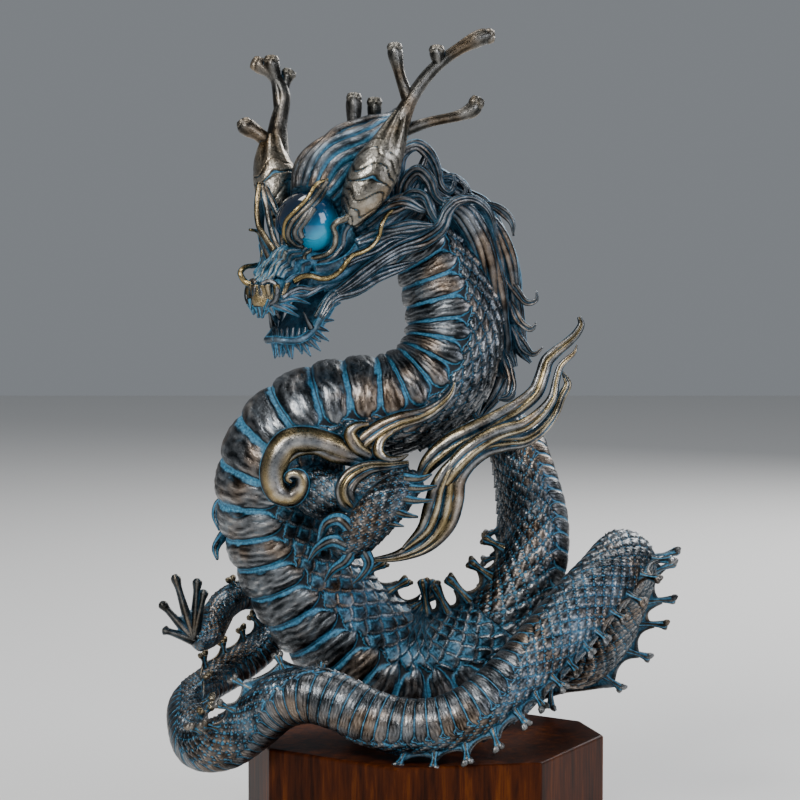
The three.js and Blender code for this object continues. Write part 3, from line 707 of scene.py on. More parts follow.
def head_loft(shell, sections, around=56, steps=90, patina=0.6, gilt=0.1, rough=0.35):
    """A skin through sections (a, c, half width, half height) of the head's middle plane, roughened by low
    waves like modelled skin."""
    p = smooth(np.array([[a, 0, c, w, h] for a, c, w, h in sections], float), steps)
    turn = ring_angles(around)[None, :]
    a, c, w, h = (p[:, k][:, None] for k in (0, 2, 3, 4))
    wave = 1 + rough * 0.05 * np.sin(3 * turn + a / 3) + rough * 0.04 * np.sin(7 * turn - a / 2.1)
    b = -w * np.sin(turn) * wave
    z = c + h * np.cos(turn) * wave
    local = np.stack([a + 0 * b, b, z], -1)
    pit = np.zeros_like(b)
    for side in (-1, 1):
        pit = np.maximum(pit, np.exp(-(((local - NOSTRIL * [1, side, 1]) / [2.6, 1.9, 2.4]) ** 2).sum(-1)))
    local = local - pit[..., None] * [3.6, 0, -0.6]
    grid = HEAD_AT + local @ AXES
    nose = np.clip((local[..., 0] - 34) / 6, 0, 1) * np.clip((local[..., 2] + 13) / 5, 0, 1)
    # painted shade: the nostril pits are darkened in the colour too, their relief dropped and their patina
    # and gilding taken out
    relief = 0.55 + 3 * (wave - 1) + 0.3 * nose - 0.9 * pit
    patina, gilt = patina * (1 - pit) * (1 - 0.75 * nose), (gilt + 0.55 * nose) * (1 - pit)
    shell.add(grid[::-1], relief[::-1], patina[::-1], gilt[::-1])


bronze = patinated_bronze("patinated and gilded bronze")


# ---- Body and fins ----
# Each row of fins: start and stop as shares of the body's length, spacing mm, reach mm, gilt, patina.
FIN_ROWS = [
    (0.075, 0.115, 13, 8, 0.3, 0.5),
    (0.135, 0.215, 14, 13, 0.75, 0.55),
    (0.235, 0.36, 16, 18, 0.5, 0.36),
    (0.47, 0.66, 12, 13, 0.3, 0.45),
    (0.668, 0.744, 10, 10, 0.35, 0.55),
    (0.765, 0.835, 10, 9, 0.4, 0.5),
    (0.85, 0.97, 12, 6, 0.6, 0.5),
]
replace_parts(body_piece("body_neck", 0.0, 0.15, 198, 0.62, 22, 1.3, 0.55), "dragon")
body_piece("body_loop", 0.15, 0.33, 190, 0.64, 15, 1.1, 0.25, 0.42, 0.2)
body_piece("body_rear_bend", 0.33, 0.76, 104, 0.52, 15)
body_piece("body_tail", 0.76, 1.0, 84, 0.5, 15)
crest = Shell()
for row in FIN_ROWS:
    fins(crest, *row)
crest.piece("dorsal_fins", bronze)


# ---- Skull and jaw ----
SKULL = [
    (-52, -12, 9, 9), (-42, -12, 17, 15), (-26, -11, 20, 17), (-10, -16, 18, 13), (4, -19, 15, 9),
    (14, -12, 10.5, 8), (22, -8, 8.6, 6.8), (32, -8, 7.8, 6), (40, -7.6, 8.4, 5.6), (44, -8.4, 6.4, 4.4),
    (46, -9, 2.6, 2.4),
]
JAW = [
    (-14, -20, 14, 7), (4, -25, 12.5, 6), (18, -29, 11, 5), (31, -31, 9.5, 4), (41, -31, 8, 3),
    (44, -30, 4, 2.5),
]
skull = Shell()
head_loft(skull, SKULL, patina=0.9)
head_loft(skull, JAW, steps=60, patina=0.85)
skull.piece("skull_and_jaw", bronze)

# Each line below is (first radius, last radius, gilt, patina, stations a b c).
LEFT_BROW = [
    (1.2, 1.6, 0.5, 0.4, [(-2, -18, 20), (6, -17, 14), (12, -15, 8), (17, -9, 4), (21, -3, 1)]),
    (1.4, 1.6, 0.35, 0.5, [(-3, -18, 19), (3, -15, 12), (9, -12, 5), (17, -5, 2), (19, -2, 0)]),
    (1.5, 1.4, 0.3, 0.5, [(-3, -17, 17), (1, -13, 10), (5, -9, 5), (12, -5, 2), (17, -2, 0)]),
    (1.6, 1.8, 0.3, 0.6, [(0, -19, 12), (8, -18, 6), (14, -15, 2), (20, -9, 0), (24, -5, -2)]),
    (2.2, 2.2, 0.2, 0.8, [(14, -16, -1), (19, -13, -4), (25, -10, -4), (31, -8, -3)]),
]
RIGHT_BROW = [
    (0.9, 1.2, 0.9, 0.2, [(-8, 15, 17), (-2, 14, 19), (4, 12, 16.5), (11, 9, 15), (14.5, 5, 12.4),
        (17.4, 3, 6.8), (16.6, 3, 1), (14, 4, -2.4)]),
    (1.3, 1.4, 0.35, 0.5, [(-7, 15.5, 17), (-2.4, 14.5, 15.8), (5, 12.5, 14), (10.2, 9.5, 12.6),
        (14.6, 6.5, 10.4), (17, 4.5, 6), (16, 4.5, 1), (13.4, 5, -2.6)]),
    (1.2, 1.5, 0.3, 0.6, [(-5.6, 15.5, 15.4), (-1, 14, 12.8), (6.6, 12, 12), (12, 10, 10), (15, 8, 8),
        (15.6, 7, 5), (14, 6.5, 0.6)]),
    (2.6, 1.6, 0.3, 0.5, [(4, 12, 11.5), (9, 10.5, 9.4), (13, 8.5, 7), (13.6, 8, 3)]),
]
SOCKET_RIM = [
    (1.2, 1.7, 0.4, 0.5, [(14.6, 4, -4), (10.2, 5, -5), (11.6, 6, -6), (15.1, 6, -5.3), (17.6, 7, -6.6),
        (16.6, 7, -9.5), (14.7, 8, -8.3), (11.2, 10, -9.5), (8, 12, -10.3), (4.8, 14, -8.6), (2.5, 15, -5),
        (2, 16, -0.4), (0.5, 18, 1), (-2.5, 20, 0.3), (-9.2, 22, 2), (-16.4, 24, 4.5), (-27, 25, 6)]),
    (1.4, 1.3, 0.2, 0.7, [(18.5, 8, -10), (15, 9, -10.6), (11.2, 12, -12), (7, 14.5, -12), (2.6, 16.5, -10),
        (-0.5, 17.5, -6), (-2.6, 20, -3.4), (-8, 23, -2), (-15, 25, 0.4), (-25, 26, 0.6)]),
]
SNOUT_RIDGES = [
    (1.4, 1.0, 0.5, 0.9, [(21, -3, 1), (26, -3, -0.8), (31, -2, -1), (37, -1, -1.6)]),
    (1.2, 1.0, 0.45, 0.9, [(19, -1, 0.6), (24.5, -1, 0), (29.4, 0, -1.5), (34, 0, -1.2), (38.7, 1, -1.4)]),
    (1.2, 1.0, 0.45, 0.9, [(17, 1, 0), (22, 1, 1.4), (26, 2, 0.2), (31, 2, 0.5), (35, 2, -1.1),
        (40, 2, -1.4)]),
    (1.2, 1.0, 0.5, 0.9, [(14.6, 4, -3), (20, 3, 0.4), (25, 4, -0.4), (29, 4, 0.4), (32.4, 4, -1.3),
        (38, 4, -1)]),
    (1.2, 0.9, 0.4, 0.9, [(16, 5, -4), (21.4, 5.2, -0.9), (25.6, 6, -1.7), (30, 6, -0.8), (34, 6, -2)]),
    (1.2, 0.9, 0.4, 0.9, [(17, 6, -5.5), (23, 7, -2.4), (26, 7.4, -3.8), (30, 7.4, -2.4),
        (33.4, 7.2, -3.2)]),
    (1.4, 1.0, 0.2, 0.95, [(16, 8, -9), (21, 9, -6.5), (25, 10, -7.4), (30, 9.5, -5.6), (34, 8.5, -5.4)]),
]
NOSE = [
    (2.8, 2.2, 0.6, 0.2, [(39, -2, -2.4), (41, -2, -5), (43, -1, -8), (44.6, 0, -10.6)]),
    (1.6, 1.2, 0.5, 0.25, [(39.6, -4.4, -1.4), (41.4, -4.4, -6.5), (42.8, -3.4, -10.7), (44, -2, -13.5)]),
    (1.8, 1.2, 0.6, 0.4, [(38, -7.6, -3), (41, -8, -6.4), (43, -6.4, -9.3), (45, -4.4, -12)]),
    (1.3, 1.1, 0.2, 0.35, [(40, 1.6, -1.4), (38, 4.4, -1.2), (38.2, 7.4, -2.6), (40.4, 8.6, -5),
        (43.2, 7.6, -7.6), (44.4, 3.4, -9)]),
    (1.1, 1.2, 0.25, 0.4, [(40, 1.6, -1.4), (42.4, 1.8, -3.6), (43.8, 2, -6.6), (44.6, 2.4, -9)]),
    (1.7, 1.3, 0.2, 0.8, [(45, 0.6, -10), (41.8, 6.6, -9.8), (35.2, 9.6, -11.2), (29.4, 11, -15.4),
        (23, 13, -17.2), (16.7, 14, -19.6)]),
    (1.5, 1.3, 0.2, 0.7, [(40.4, 9, -8.4), (35.3, 10, -9), (30.3, 11, -11), (26, 12, -15), (21, 13, -17)]),
    (1.6, 1.0, 0.5, 0.5, [(33, 8.5, -6.5), (36, 9.4, -6.6), (40, 9, -8)]),
]
JAW_EDGE = [
    (2.0, 1.6, 0.1, 0.95, [(9.4, 18, -24), (16.3, 16, -24), (23.8, 15, -25), (30, 13, -28), (35, 11, -30.4),
        (42, 9, -29.6), (46, 5, -27), (46.5, 0, -26)]),
    (1.6, 1.1, 0.3, 0.7, [(12, 17, -22), (18.5, 15, -22.4), (24.4, 13, -24), (31.6, 12, -26)]),
    (1.5, 1.2, 0.1, 1.0, [(14, 14, -26), (22, 14, -28), (30, 12, -31), (38, 9, -33), (44, 4, -31)]),
]
TEETH = [
    (1.5, 0.3, 0.2, 0.2, [(35.3, 11, -29), (33.9, 10, -21)]),
    (1.3, 0.3, 0.2, 0.3, [(42.8, 5, -12), (43, 5, -17.5)]),
    (1.3, 0.3, 0.2, 0.3, [(38, 8, -12), (38, 8, -18)]),
    (1.2, 0.4, 0.1, 0.6, [(43.6, 1, -27.8), (41.6, 1, -24.4)]),
    (1.2, 0.4, 0.1, 0.6, [(43, 3, -28.4), (40, 3, -24.8)]),
    (1.2, 0.4, 0.1, 0.6, [(42, 5, -29), (38.6, 5, -25.6)]),
    (1.2, 0.4, 0.1, 0.6, [(40.4, 7, -29.6), (37.4, 7, -27)]),
    (1.2, 0.4, 0.1, 0.6, [(38.4, 9, -30), (36, 9, -27.6)]),
]
LIP_FRINGE = [
    [(43, -5, -7.7), (47, -4, -9.4)], [(43.6, -4, -9.5), (47.8, -3, -11.4)],
    [(44.6, -1, -9.6), (48.4, -1, -12.8)], [(45, 1, -9.4), (47.6, 1, -13.4)],
    [(44.4, 3, -9.2), (46.6, 2.4, -12)], [(44.4, 5, -9.6), (45.6, 6, -13.6)],
    [(43.5, 6, -8.8), (41.3, 9.4, -13.8), (37.3, 10, -20.9)],
    [(42.2, 7, -9.3), (39, 9.6, -14), (36.6, 10.4, -17.4)],
    [(40.5, 8, -9.5), (36, 10.6, -12.2), (30.3, 12, -19.6)],
    [(41.8, 8, -9), (36.3, 10, -12), (31.7, 11.4, -14.3)], [(38, 9, -9), (33, 11, -11), (28, 12.6, -15)],
]
BEARD = [
    [(45, 0, -28), (50, 1, -33)], [(44.3, 2, -29), (47, 3, -33.4)], [(43.6, 4, -29.7), (47.6, 5, -36)],
    [(42, 6, -31), (43, 7, -35.4)], [(40.3, 7, -32), (41.2, 9, -39.6)],
    [(39.6, 8, -31.8), (38.6, 9.4, -36.4)], [(37.7, 9, -32.7), (36.7, 11, -40.4)],
    [(36.6, 10, -31.5), (35, 12, -36.6)], [(35, 11, -30.6), (31.4, 12.6, -39.2)],
    [(33.2, 12, -29.8), (29.2, 13, -35.6)], [(30, 12.5, -28.5), (25, 14.5, -33)],
    [(26.3, 14, -25.5), (19.3, 17, -28)], [(42, 1, -32), (46, 2, -36.5)], [(39, 4, -33), (42, 5.5, -38)],
    [(35, 7, -33.5), (36.5, 9, -38.5)],
]
WHISKERS = [
    (1.4, 0.8, 1, 0.1, [(31, 10, -7), (27, 12, -7.5), (24.5, 14, -9), (22, 16, -12.5), (18.6, 18, -14.7),
        (13.6, 20, -15), (10.3, 22, -13.3), (6.3, 23, -12.6), (2, 25, -14), (-3.8, 26, -15.2),
        (-9, 27, -14), (-11.8, 28, -10.8), (-18.5, 28, -9.6), (-24.6, 28, -11.6), (-32, 28, -15)]),
]
LEFT_WHISKER = [
    (1.5, 0.7, 0.8, 0.4, [(39, -5, -2.4), (39.2, -8, -0.8), (37.8, -10, 2.5), (33.5, -11, 2.2),
        (26.8, -12, -2), (22.3, -13, -4.2), (17.8, -14, -1.3), (14.3, -15, 2.5), (13.5, -16, 5.7),
        (16, -17, 8.8)]),
]
CHEEK = [
    (3.2, 2.2, 0.1, 0.9, [(18, 10, -12), (12, 14, -15), (4, 18, -16), (-6, 20, -14)]),
    (3.4, 2.6, 0.1, 0.9, [(22, 10, -13), (14, 14, -19), (4, 17, -21), (-8, 19, -20)]),
    (2.0, 1.4, 0.1, 0.7, [(20, 13, -19), (10, 17, -23), (-2, 20, -24), (-16, 22, -24)]),
    (2.0, 1.2, 0.1, 0.7, [(16, 14, -22), (6, 18, -26), (-6, 20, -28), (-18, 21, -30)]),
]


def rods(shell, lines, mirror=False, sides=10):
    for first, last, gilt, patina, stations in lines:
        for s in (1, -1) if mirror else (1,):
            path = on_head(stations, (first, last), s)
            strand(shell, path, sides=sides, steps=max(10, 7 * len(stations)), patina=0.8 * patina,
                   gilt=gilt)


face = Shell()
rods(face, LEFT_BROW + RIGHT_BROW + LEFT_WHISKER)
rods(face, SOCKET_RIM + SNOUT_RIDGES + NOSE + JAW_EDGE + CHEEK, mirror=True)
rods(face, WHISKERS, mirror=True, sides=12)
rods(face, TEETH, mirror=True)
for stations in LIP_FRINGE + BEARD:
    for s in (1, -1):
        strand(face, on_head(stations, (2.5, 0.35), s), sides=10, steps=12, flat=0.75, patina=0.6,
               gilt=0.12, flutes=3, depth=0.2)
face.piece("face_relief", bronze)


# ---- Hair dome, horn bulbs and antlers ----
HAIR = [
    [-10, 0, 4, 11.5], [-20, 0, 6, 15.5], [-36, 0, 4, 16.5], [-52, 2, 2, 13.5], [-66, 3, 0, 8.5],
    [-76, 4, 2, 4],
]
BULBS = [
    [[-3, 20, -4, 3], [-13, 22, 2, 8.4], [-26, 25, 8, 10.2], [-38, 28, 14, 7.4], [-50, 30, 20, 3.6]],
    [[-3, -20, -4, 3], [-10, -23, 4, 8], [-18, -26, 10, 9.5], [-24, -29, 16, 8], [-32, -31, 22, 4.5]],
]
ANTLERS = [
    [[-14, -27, 316, 5], [-9, -26, 327, 3.2], [0, -22, 340, 2.7], [12, -18, 350, 2.6], [24, -14, 356, 3.4],
        [27, -13, 356, 1.5]],
    [[-9, -25, 328, 2.8], [-13, -24, 340, 2.3], [-15, -23, 350, 3], [-15, -23, 352, 1.4]],
    [[4, -21, 343, 2], [3, -22, 349, 3], [3, -22, 351, 1.5]],
    [[-15, -26, 314, 3], [0, -22, 319, 2.2], [13, -18, 322, 2.4], [19, -16, 325, 3.4], [21, -16, 329, 1.6]],
    [[-67, 0, 305, 6], [-66, 4, 318, 4], [-64, 7, 332, 3], [-69, 9, 341, 2.8], [-75, 11, 345, 3.4],
        [-77, 11, 346, 1.5]],
    [[-65, 6, 326, 3], [-67, 8, 338, 2.4], [-69, 7, 346, 3.2], [-69, 7, 348, 1.5]],
    [[-64, 7, 328, 2.6], [-63, 9, 336, 2], [-62, 10, 340, 2.8], [-61, 10, 342, 1.4]],
    [[-67, 2, 308, 4], [-74, -2, 314, 3], [-80, -4, 318, 3.8], [-81, -4, 320, 2]],
    [[-32, 9, 306, 3], [-33, 14, 318, 2.8], [-33, 15, 329, 3.4], [-33, 15, 332, 2]],
    [[-24, 10, 308, 2.6], [-24, 15, 318, 2.4], [-24, 16, 327, 3], [-24, 16, 330, 1.8]],
]


def horn_bulb(shell, stations):
    """An egg-shaped horn root engraved with wavy contour lines: radius - 0.55 mm along the level lines of
    s / 5.5 + 0.55 sin(2 turn + s / 6) + 0.2 sin(5 turn - s / 3), which fade into flutes 0.8 mm deep."""
    course = Course(stations, (0, -1, 0))
    s, turn = ring_grid(np.linspace(0, course.length, 100), 72)
    level = s / 5.5 + 0.55 * np.sin(2 * turn + s / 6) + 0.2 * np.sin(5 * turn - s / 3)
    line = np.exp(-(((level % 1) - 0.5) / 0.07) ** 2)
    flute = 0.5 + 0.5 * np.cos(7 * turn + s / 9)
    fade = np.clip((s / course.length - 0.55) * 4, 0, 1)
    grid = course.point(s, turn, -0.55 * line * (1 - fade) - 0.8 * fade * flute)
    shell.add(grid, 0.95 - 0.8 * line * (1 - fade) - 0.5 * fade * flute, 0.18, 0.36, s, grain=(0.2, 0.3))


def knob(shell, branch):
    """Two stubby lobes that part at a branch's end."""
    tip, before = np.array(branch[-1]), np.array(branch[-2])
    reach = unit(tip[:3] - before[:3])
    aside = unit(np.cross(reach, (0, -1, 0)))
    for turn in (-1, 1):
        root = before[:3] + aside * turn * 0.4 - reach
        ends = tip[:3] + reach * 0.8 + aside * turn * 1.5
        path = [[*root, 2.0], [*(0.35 * root + 0.65 * ends), 2.4], [*ends, 1.3]]
        strand(shell, path, sides=18, steps=14, patina=0.1, gilt=0.34, bright=0.75)


crown = Shell()
dome = on_head(HAIR)
strand(crown, dome * [1, 1, 1, 0.86], sides=48, steps=70, face=UP, patina=0.55)
lock(crown, dome, 17, twist=0.1, thick=0.22, face=UP, flat=1, patina=0.48, gilt=0.1, sides=9)
for bulb in BULBS:
    horn_bulb(crown, on_head(bulb))
for branch in ANTLERS:
    stout = np.array(branch) * [1, 1, 1, 1.02]
    strand(crown, stout, sides=24, steps=14 * len(branch), patina=0.1, gilt=0.3, flutes=4, depth=0.14,
           low=0.45)
    knob(crown, branch)
crown.piece("hair_horns_antlers", bronze)


# ---- Mane: strands to the lock, flatness and stations x y z radius ----
MANE = [
    (7, 0.6, [[-40, -44, 246, 1.7], [-34, -40, 250, 2.6], [-25, -35, 257, 3.2], [-13, -28, 265, 3.4],
        [-2, -21, 269, 3.5], [5, -19, 274, 3], [8, -17, 281, 2.8], [12, -14, 285, 2.6], [19, -10, 286, 2.2],
        [25, -7, 282, 1.7], [28, -5, 276, 1.3], [29, -4, 268, 0.7]]),
    (5, 0.6, [[-14, -16, 284, 2.6], [-14, -14, 296, 3], [-12, -12, 305, 3], [-6, -10, 309, 2.8],
        [-1, -8, 306, 2.6], [3, -8, 299, 2.2], [5, -8, 292, 2], [9, -8, 289, 1.5], [11, -8, 294, 1.1],
        [10, -8, 297, 0.4]]),
    (5, 0.6, [[-12, -17, 281, 2.6], [-10, -16, 293, 3], [-5, -15, 298, 3], [0, -15, 294, 2.6],
        [3, -15, 287, 2.2], [8, -14, 284, 1.7], [14, -12, 287, 1.3], [16, -10, 291, 0.9],
        [13, -8, 294, 0.4]]),
    (4, 0.6, [[-14, -19, 278, 2.6], [-8, -19, 287, 3], [-3, -19, 287, 2.8], [1, -18, 280, 2.2],
        [4, -18, 275, 0.9]]),
    (5, 0.5, [[-27, -31, 274, 2.6], [-19, -28, 280, 3.2], [-11, -25, 284, 3], [-2, -22, 281, 1.3]]),
    (5, 0.5, [[-31, -35, 267, 2.6], [-21, -30, 271, 3.2], [-9, -26, 274, 2.8], [2, -22, 275, 0.9]]),
    (5, 0.5, [[-36, -39, 259, 2.6], [-26, -33, 264, 2.8], [-17, -29, 269, 2.1], [-8, -25, 270, 0.9]]),
    (5, 0.5, [[-46, -47, 236, 1.3], [-41, -44, 244, 2.5], [-33, -38, 248, 3.4], [-22, -30, 253, 3],
        [-13, -24, 257, 2.2], [-6, -19, 259, 0.9]]),
    (7, 0.6, [[5, -14, 284, 3], [14, -10, 280, 5.2], [22, -6, 268, 6.1], [27, -2, 251, 5.7],
        [30, 2, 235, 4.8], [33, 4, 222, 3.5], [31, 5, 210, 1.3]]),
    (7, 0.6, [[14, -4, 283, 2.6], [25, 0, 276, 4.8], [33, 5, 260, 5.3], [37, 9, 244, 4.9], [39, 10, 228, 4],
        [41, 9, 219, 2.6], [45, 8, 214, 0.9]]),
    (6, 0.6, [[9, 6, 283, 3.5], [22, 14, 279, 5.8], [32, 18, 264, 6.2], [35, 20, 246, 5.8],
        [35, 18, 228, 4.9], [32, 14, 210, 3.5], [29, 10, 200, 1.3]]),
    (3, 0.5, [[30, 4, 258, 2.2], [37, 5, 247, 2.2], [43, 4, 241, 1.8], [47, 3, 242, 1.1],
        [47, 2, 246, 0.4]]),
    (3, 0.5, [[34, 6, 242, 2.2], [40, 5, 232, 2.2], [45, 4, 229, 1.5], [47, 3, 232, 0.4]]),
    (3, 0.5, [[36, 7, 231, 2.2], [41, 6, 222, 2.2], [46, 5, 218, 1.5], [50, 4, 221, 0.4]]),
    (3, 0.5, [[20, -4, 283, 2.2], [30, -2, 282, 2.2], [36, -1, 276, 1.5], [37, 0, 270, 0.5]]),
    (4, 0.5, [[31, 2, 220, 2.6], [36, -2, 208, 2.6], [35, -5, 200, 2.2], [30, -7, 199, 0.9]]),
    (4, 0.5, [[5, -6, 295, 1.7], [11, -3, 295, 2.2], [16, -1, 291, 2.2], [17, 0, 286, 1.3],
        [14, 1, 283, 0.4]]),
    (7, 0.8, [[-14, -4, 288, 8], [0, 2, 292, 8], [12, 5, 286, 7], [24, 7, 282, 4], [30, 7, 272, 2.8],
        [32, 7, 260, 1.4]]),
    (8, 0.8, [[-4, 8, 286, 8], [10, 13, 280, 9], [22, 14, 264, 8], [29, 13, 246, 7], [32, 12, 228, 6],
        [38, 10, 212, 2]]),
    (8, 0.8, [[0, 20, 282, 6], [16, 22, 270, 8], [26, 22, 250, 8], [31, 18, 228, 7], [30, 14, 206, 6],
        [22, 10, 190, 3]]),
]
CHEEK_LOCKS = [
    [[-6, 18, -12, 4], [-22, 24, -14, 6], [-40, 26, -14, 4], [-58, 26, -6, 1.5]],
    [[-4, 16, -18, 4], [-20, 22, -22, 5], [-38, 24, -26, 4], [-54, 22, -20, 1.2]],
    [[0, 13, -20, 3], [-14, 18, -28, 4], [-28, 18, -36, 1.2]],
]
mane = Shell()
for count, flat, stations in MANE:
    strand(mane, np.array(stations) * [1, 1, 1, 0.6], sides=10, flat=flat, patina=0.6)
    lock(mane, stations, count, twist=0.25, flat=flat + 0.15, patina=0.4, gilt=0.08)
for stations in CHEEK_LOCKS:
    for s in (1, -1):
        lock(mane, on_head(stations, mirror=s), 6, twist=0.3, patina=0.42)
mane.piece("mane", bronze)


# ---- Flames: ridges across, flatness and stations x y z half width ----
FLAMES = [
    (1, 0.8, [[-23, -26, 177, 5.2], [-33, -28, 177, 5.2], [-43, -30, 181, 5.6], [-51, -32, 183, 6],
        [-60, -33, 182, 6.4], [-65, -34, 176, 6.4], [-67, -34, 168, 6], [-65, -34, 161, 5.3],
        [-59, -34, 159, 4.5], [-55, -35, 163, 3.6], [-55, -36, 168, 2.8], [-59, -36, 169, 2.1],
        [-61, -36, 167, 1.7], [-59, -36, 165, 1.1]]),
    (1, 0.8, [[-30, -29, 173, 2.1], [-41, -31, 176, 3], [-49, -32, 179, 2.6], [-56, -33, 178, 2.1],
        [-61, -35, 174, 1.5], [-62, -35, 170, 0.6]]),
    (1, 0.8, [[-25, -30, 176, 3], [-31, -31, 180, 3.4], [-34, -31, 186, 3], [-31, -31, 189, 2.1],
        [-26, -31, 190, 0.9]]),
    (3, 0.6, [[-33, -28, 172, 3.4], [-29, -29, 180, 5.1], [-21, -29, 187, 4.7], [-13, -29, 191, 3.9],
        [-2, -28, 194, 3], [6, -27, 199, 2.1], [10, -25, 204, 1.3], [11, -24, 208, 0.4]]),
    (1, 0.8, [[-16, -30, 187, 1.3], [-21, -31, 183, 2.1], [-22, -32, 178, 2.6], [-19, -32, 175, 2.1],
        [-13, -32, 175, 1.3], [-9, -32, 177, 0.4]]),
    (3, 0.6, [[-9, -31, 173, 1.3], [-17, -33, 172, 2.1], [-26, -34, 171, 3.4], [-33, -35, 167, 4.7],
        [-36, -36, 162, 4.7], [-34, -36, 156, 4.1], [-29, -36, 153, 3], [-25, -36, 154, 1.1]]),
    (3, 0.6, [[-25, -29, 131, 0.9], [-13, -29, 133, 2.6], [-2, -29, 139, 5.1], [5, -28, 148, 6.9],
        [8, -28, 157, 6.9], [10, -28, 166, 6], [15, -27, 173, 5.2], [24, -25, 179, 4.3],
        [33, -23, 181, 3.7], [41, -21, 182, 3.2], [48, -19, 186, 2.6], [54, -17, 193, 2.2],
        [57, -16, 200, 2], [60, -15, 206, 1.7], [59, -14, 209, 1.1], [57, -14, 212, 0.4]]),
    (2, 0.6, [[-5, -27, 165, 1.7], [0, -27, 173, 3.9], [9, -26, 181, 4.7], [20, -25, 187, 4.3],
        [30, -23, 192, 3.9], [39, -20, 197, 3.7], [46, -18, 203, 3.5], [49, -16, 210, 3.2],
        [51, -15, 216, 3], [55, -14, 220, 2.6], [60, -13, 224, 2.2], [64, -12, 228, 1.9],
        [66, -11, 232, 1.5], [65, -11, 235, 0.9]]),
    (2, 0.7, [[6, -31, 164, 2.6], [11, -31, 172, 3.9], [19, -30, 180, 3.9], [30, -27, 186, 3.4],
        [41, -24, 189, 3], [48, -21, 194, 2.6], [53, -19, 200, 2.2], [55, -17, 208, 1.7],
        [57, -16, 214, 1.5], [63, -15, 220, 0.9], [64, -14, 223, 0.3]]),
    (2, 0.6, [[-11, -31, 136, 1.3], [-2, -32, 145, 3.4], [1, -32, 154, 3.9], [3, -32, 162, 3.4],
        [7, -32, 170, 2.6], [13, -31, 177, 1.3]]),
]


def ribbon(shell, stations, ridges, flat):
    """A flat tongue of flame: half thickness
    flat R sqrt(1 - v^2) (0.5 + 0.5 |sin(pi ridges (v + 1) / 2)|^0.6)
    at v across its width from -1 to 1, the ridges drifting slowly across as they run along. The gilding
    lies along its edges and a thin patina washes slowly from ridge to ridge."""
    course = Course(stations, (0, -1, 0))
    s, turn = ring_grid(np.linspace(0, course.length, int(course.length / 0.8)), 48)
    v = np.sin(turn)
    drift = v + 0.22 * np.sin(s / 13 + ridges) * (1 - v**2)
    crest = np.abs(np.sin(np.pi * ridges * (drift + 1) / 2)) ** 0.6
    r = course.pick(course.radius, s)
    deep = flat * r * np.cos(turn) * (0.5 + 0.5 * crest)
    grid = course.pick(course.middle, s) + course.pick(course.back, s) * deep[..., None]
    grid = grid + course.pick(course.side, s) * (r * v)[..., None]
    wash = 0.5 + 0.5 * np.sin(1.4 * np.pi * drift + s / 34 + ridges)
    shell.add(grid, 0.12 + 0.84 * crest, 0.14 + 0.34 * wash, 0.2 + 0.4 * (1 - wash), s, grain=(0.05, 0.3))


flame = Shell()
for ridges, flat, stations in FLAMES:
    ribbon(flame, stations, ridges, flat)
flame.piece("shoulder_flames", bronze)


# ---- Arms, claws, elbow spikes ----
NEAR_ARM = [
    [[-56, -20, 160, 6.9], [-48, -24, 160, 10.3], [-39, -27, 160, 8.6], [-21, -31, 164, 6],
        [-8, -32, 167, 4.7]],
    [[-5, -31, 166, 4.3], [-11, -34, 163, 6.8], [-18, -37, 157, 8.5], [-26, -38, 148, 8.5],
        [-34, -36, 140, 7.7], [-39, -32, 136, 4.3]],
]
NEAR_CLAWS = [
    [[-33, -42, 145, 3.4], [-38, -42, 150, 3.4], [-44, -38, 148, 2.6], [-47, -33, 140, 1.5],
        [-48, -31, 136, 0.4]],
    [[-35, -42, 139, 3.4], [-41, -41, 141, 3.2], [-48, -36, 137, 2.1], [-52, -31, 131, 0.6]],
    [[-33, -40, 137, 3.4], [-36, -39, 132, 3], [-41, -36, 128, 2.1], [-45, -31, 122, 0.6]],
    [[-29, -40, 138, 3], [-26, -38, 131, 2.6], [-29, -35, 125, 1.7], [-33, -31, 121, 0.6]],
]
ELBOW_SPIKES = [
    [[-11, -38, 167, 3], [-4, -39, 167, 1.9], [1, -39, 169, 0.4]],
    [[-11, -39, 163, 3], [-3, -40, 163, 1.7], [3, -39, 164, 0.6]],
    [[-13, -41, 159, 3], [-6, -42, 158, 1.7], [1, -41, 158, 0.6]],
    [[-16, -42, 154, 3], [-10, -43, 152, 1.7], [-5, -42, 151, 0.6]],
    [[-20, -43, 149, 2.5], [-15, -43, 148, 1.5], [-11, -42, 147, 0.4]],
]
FAR_ARM = [[-52, 18, 176, 10], [-66, 28, 166, 8], [-80, 26, 152, 6], [-86, 16, 146, 4]]
FAR_CLAWS = [
    [[-84, 18, 148, 4], [-92, 10, 152, 2.4], [-94, 2, 147, 1.8], [-92, -2, 141, 0.7]],
    [[-84, 16, 144, 4], [-92, 8, 136, 2.4], [-94, 2, 132, 1.8], [-93, -2, 128, 0.7]],
]
limbs = Shell()
for stations in [*NEAR_ARM, FAR_ARM]:
    arm(limbs, stations)
for stations in NEAR_CLAWS + FAR_CLAWS:
    strand(limbs, stations, sides=14, steps=30, patina=0.42, gilt=0.25, flutes=4, depth=0.15)
for stations in ELBOW_SPIKES:
    strand(limbs, stations, sides=10, steps=16, patina=0.4, gilt=0.35, flutes=3, depth=0.2)
limbs.piece("arms_and_claws", bronze)

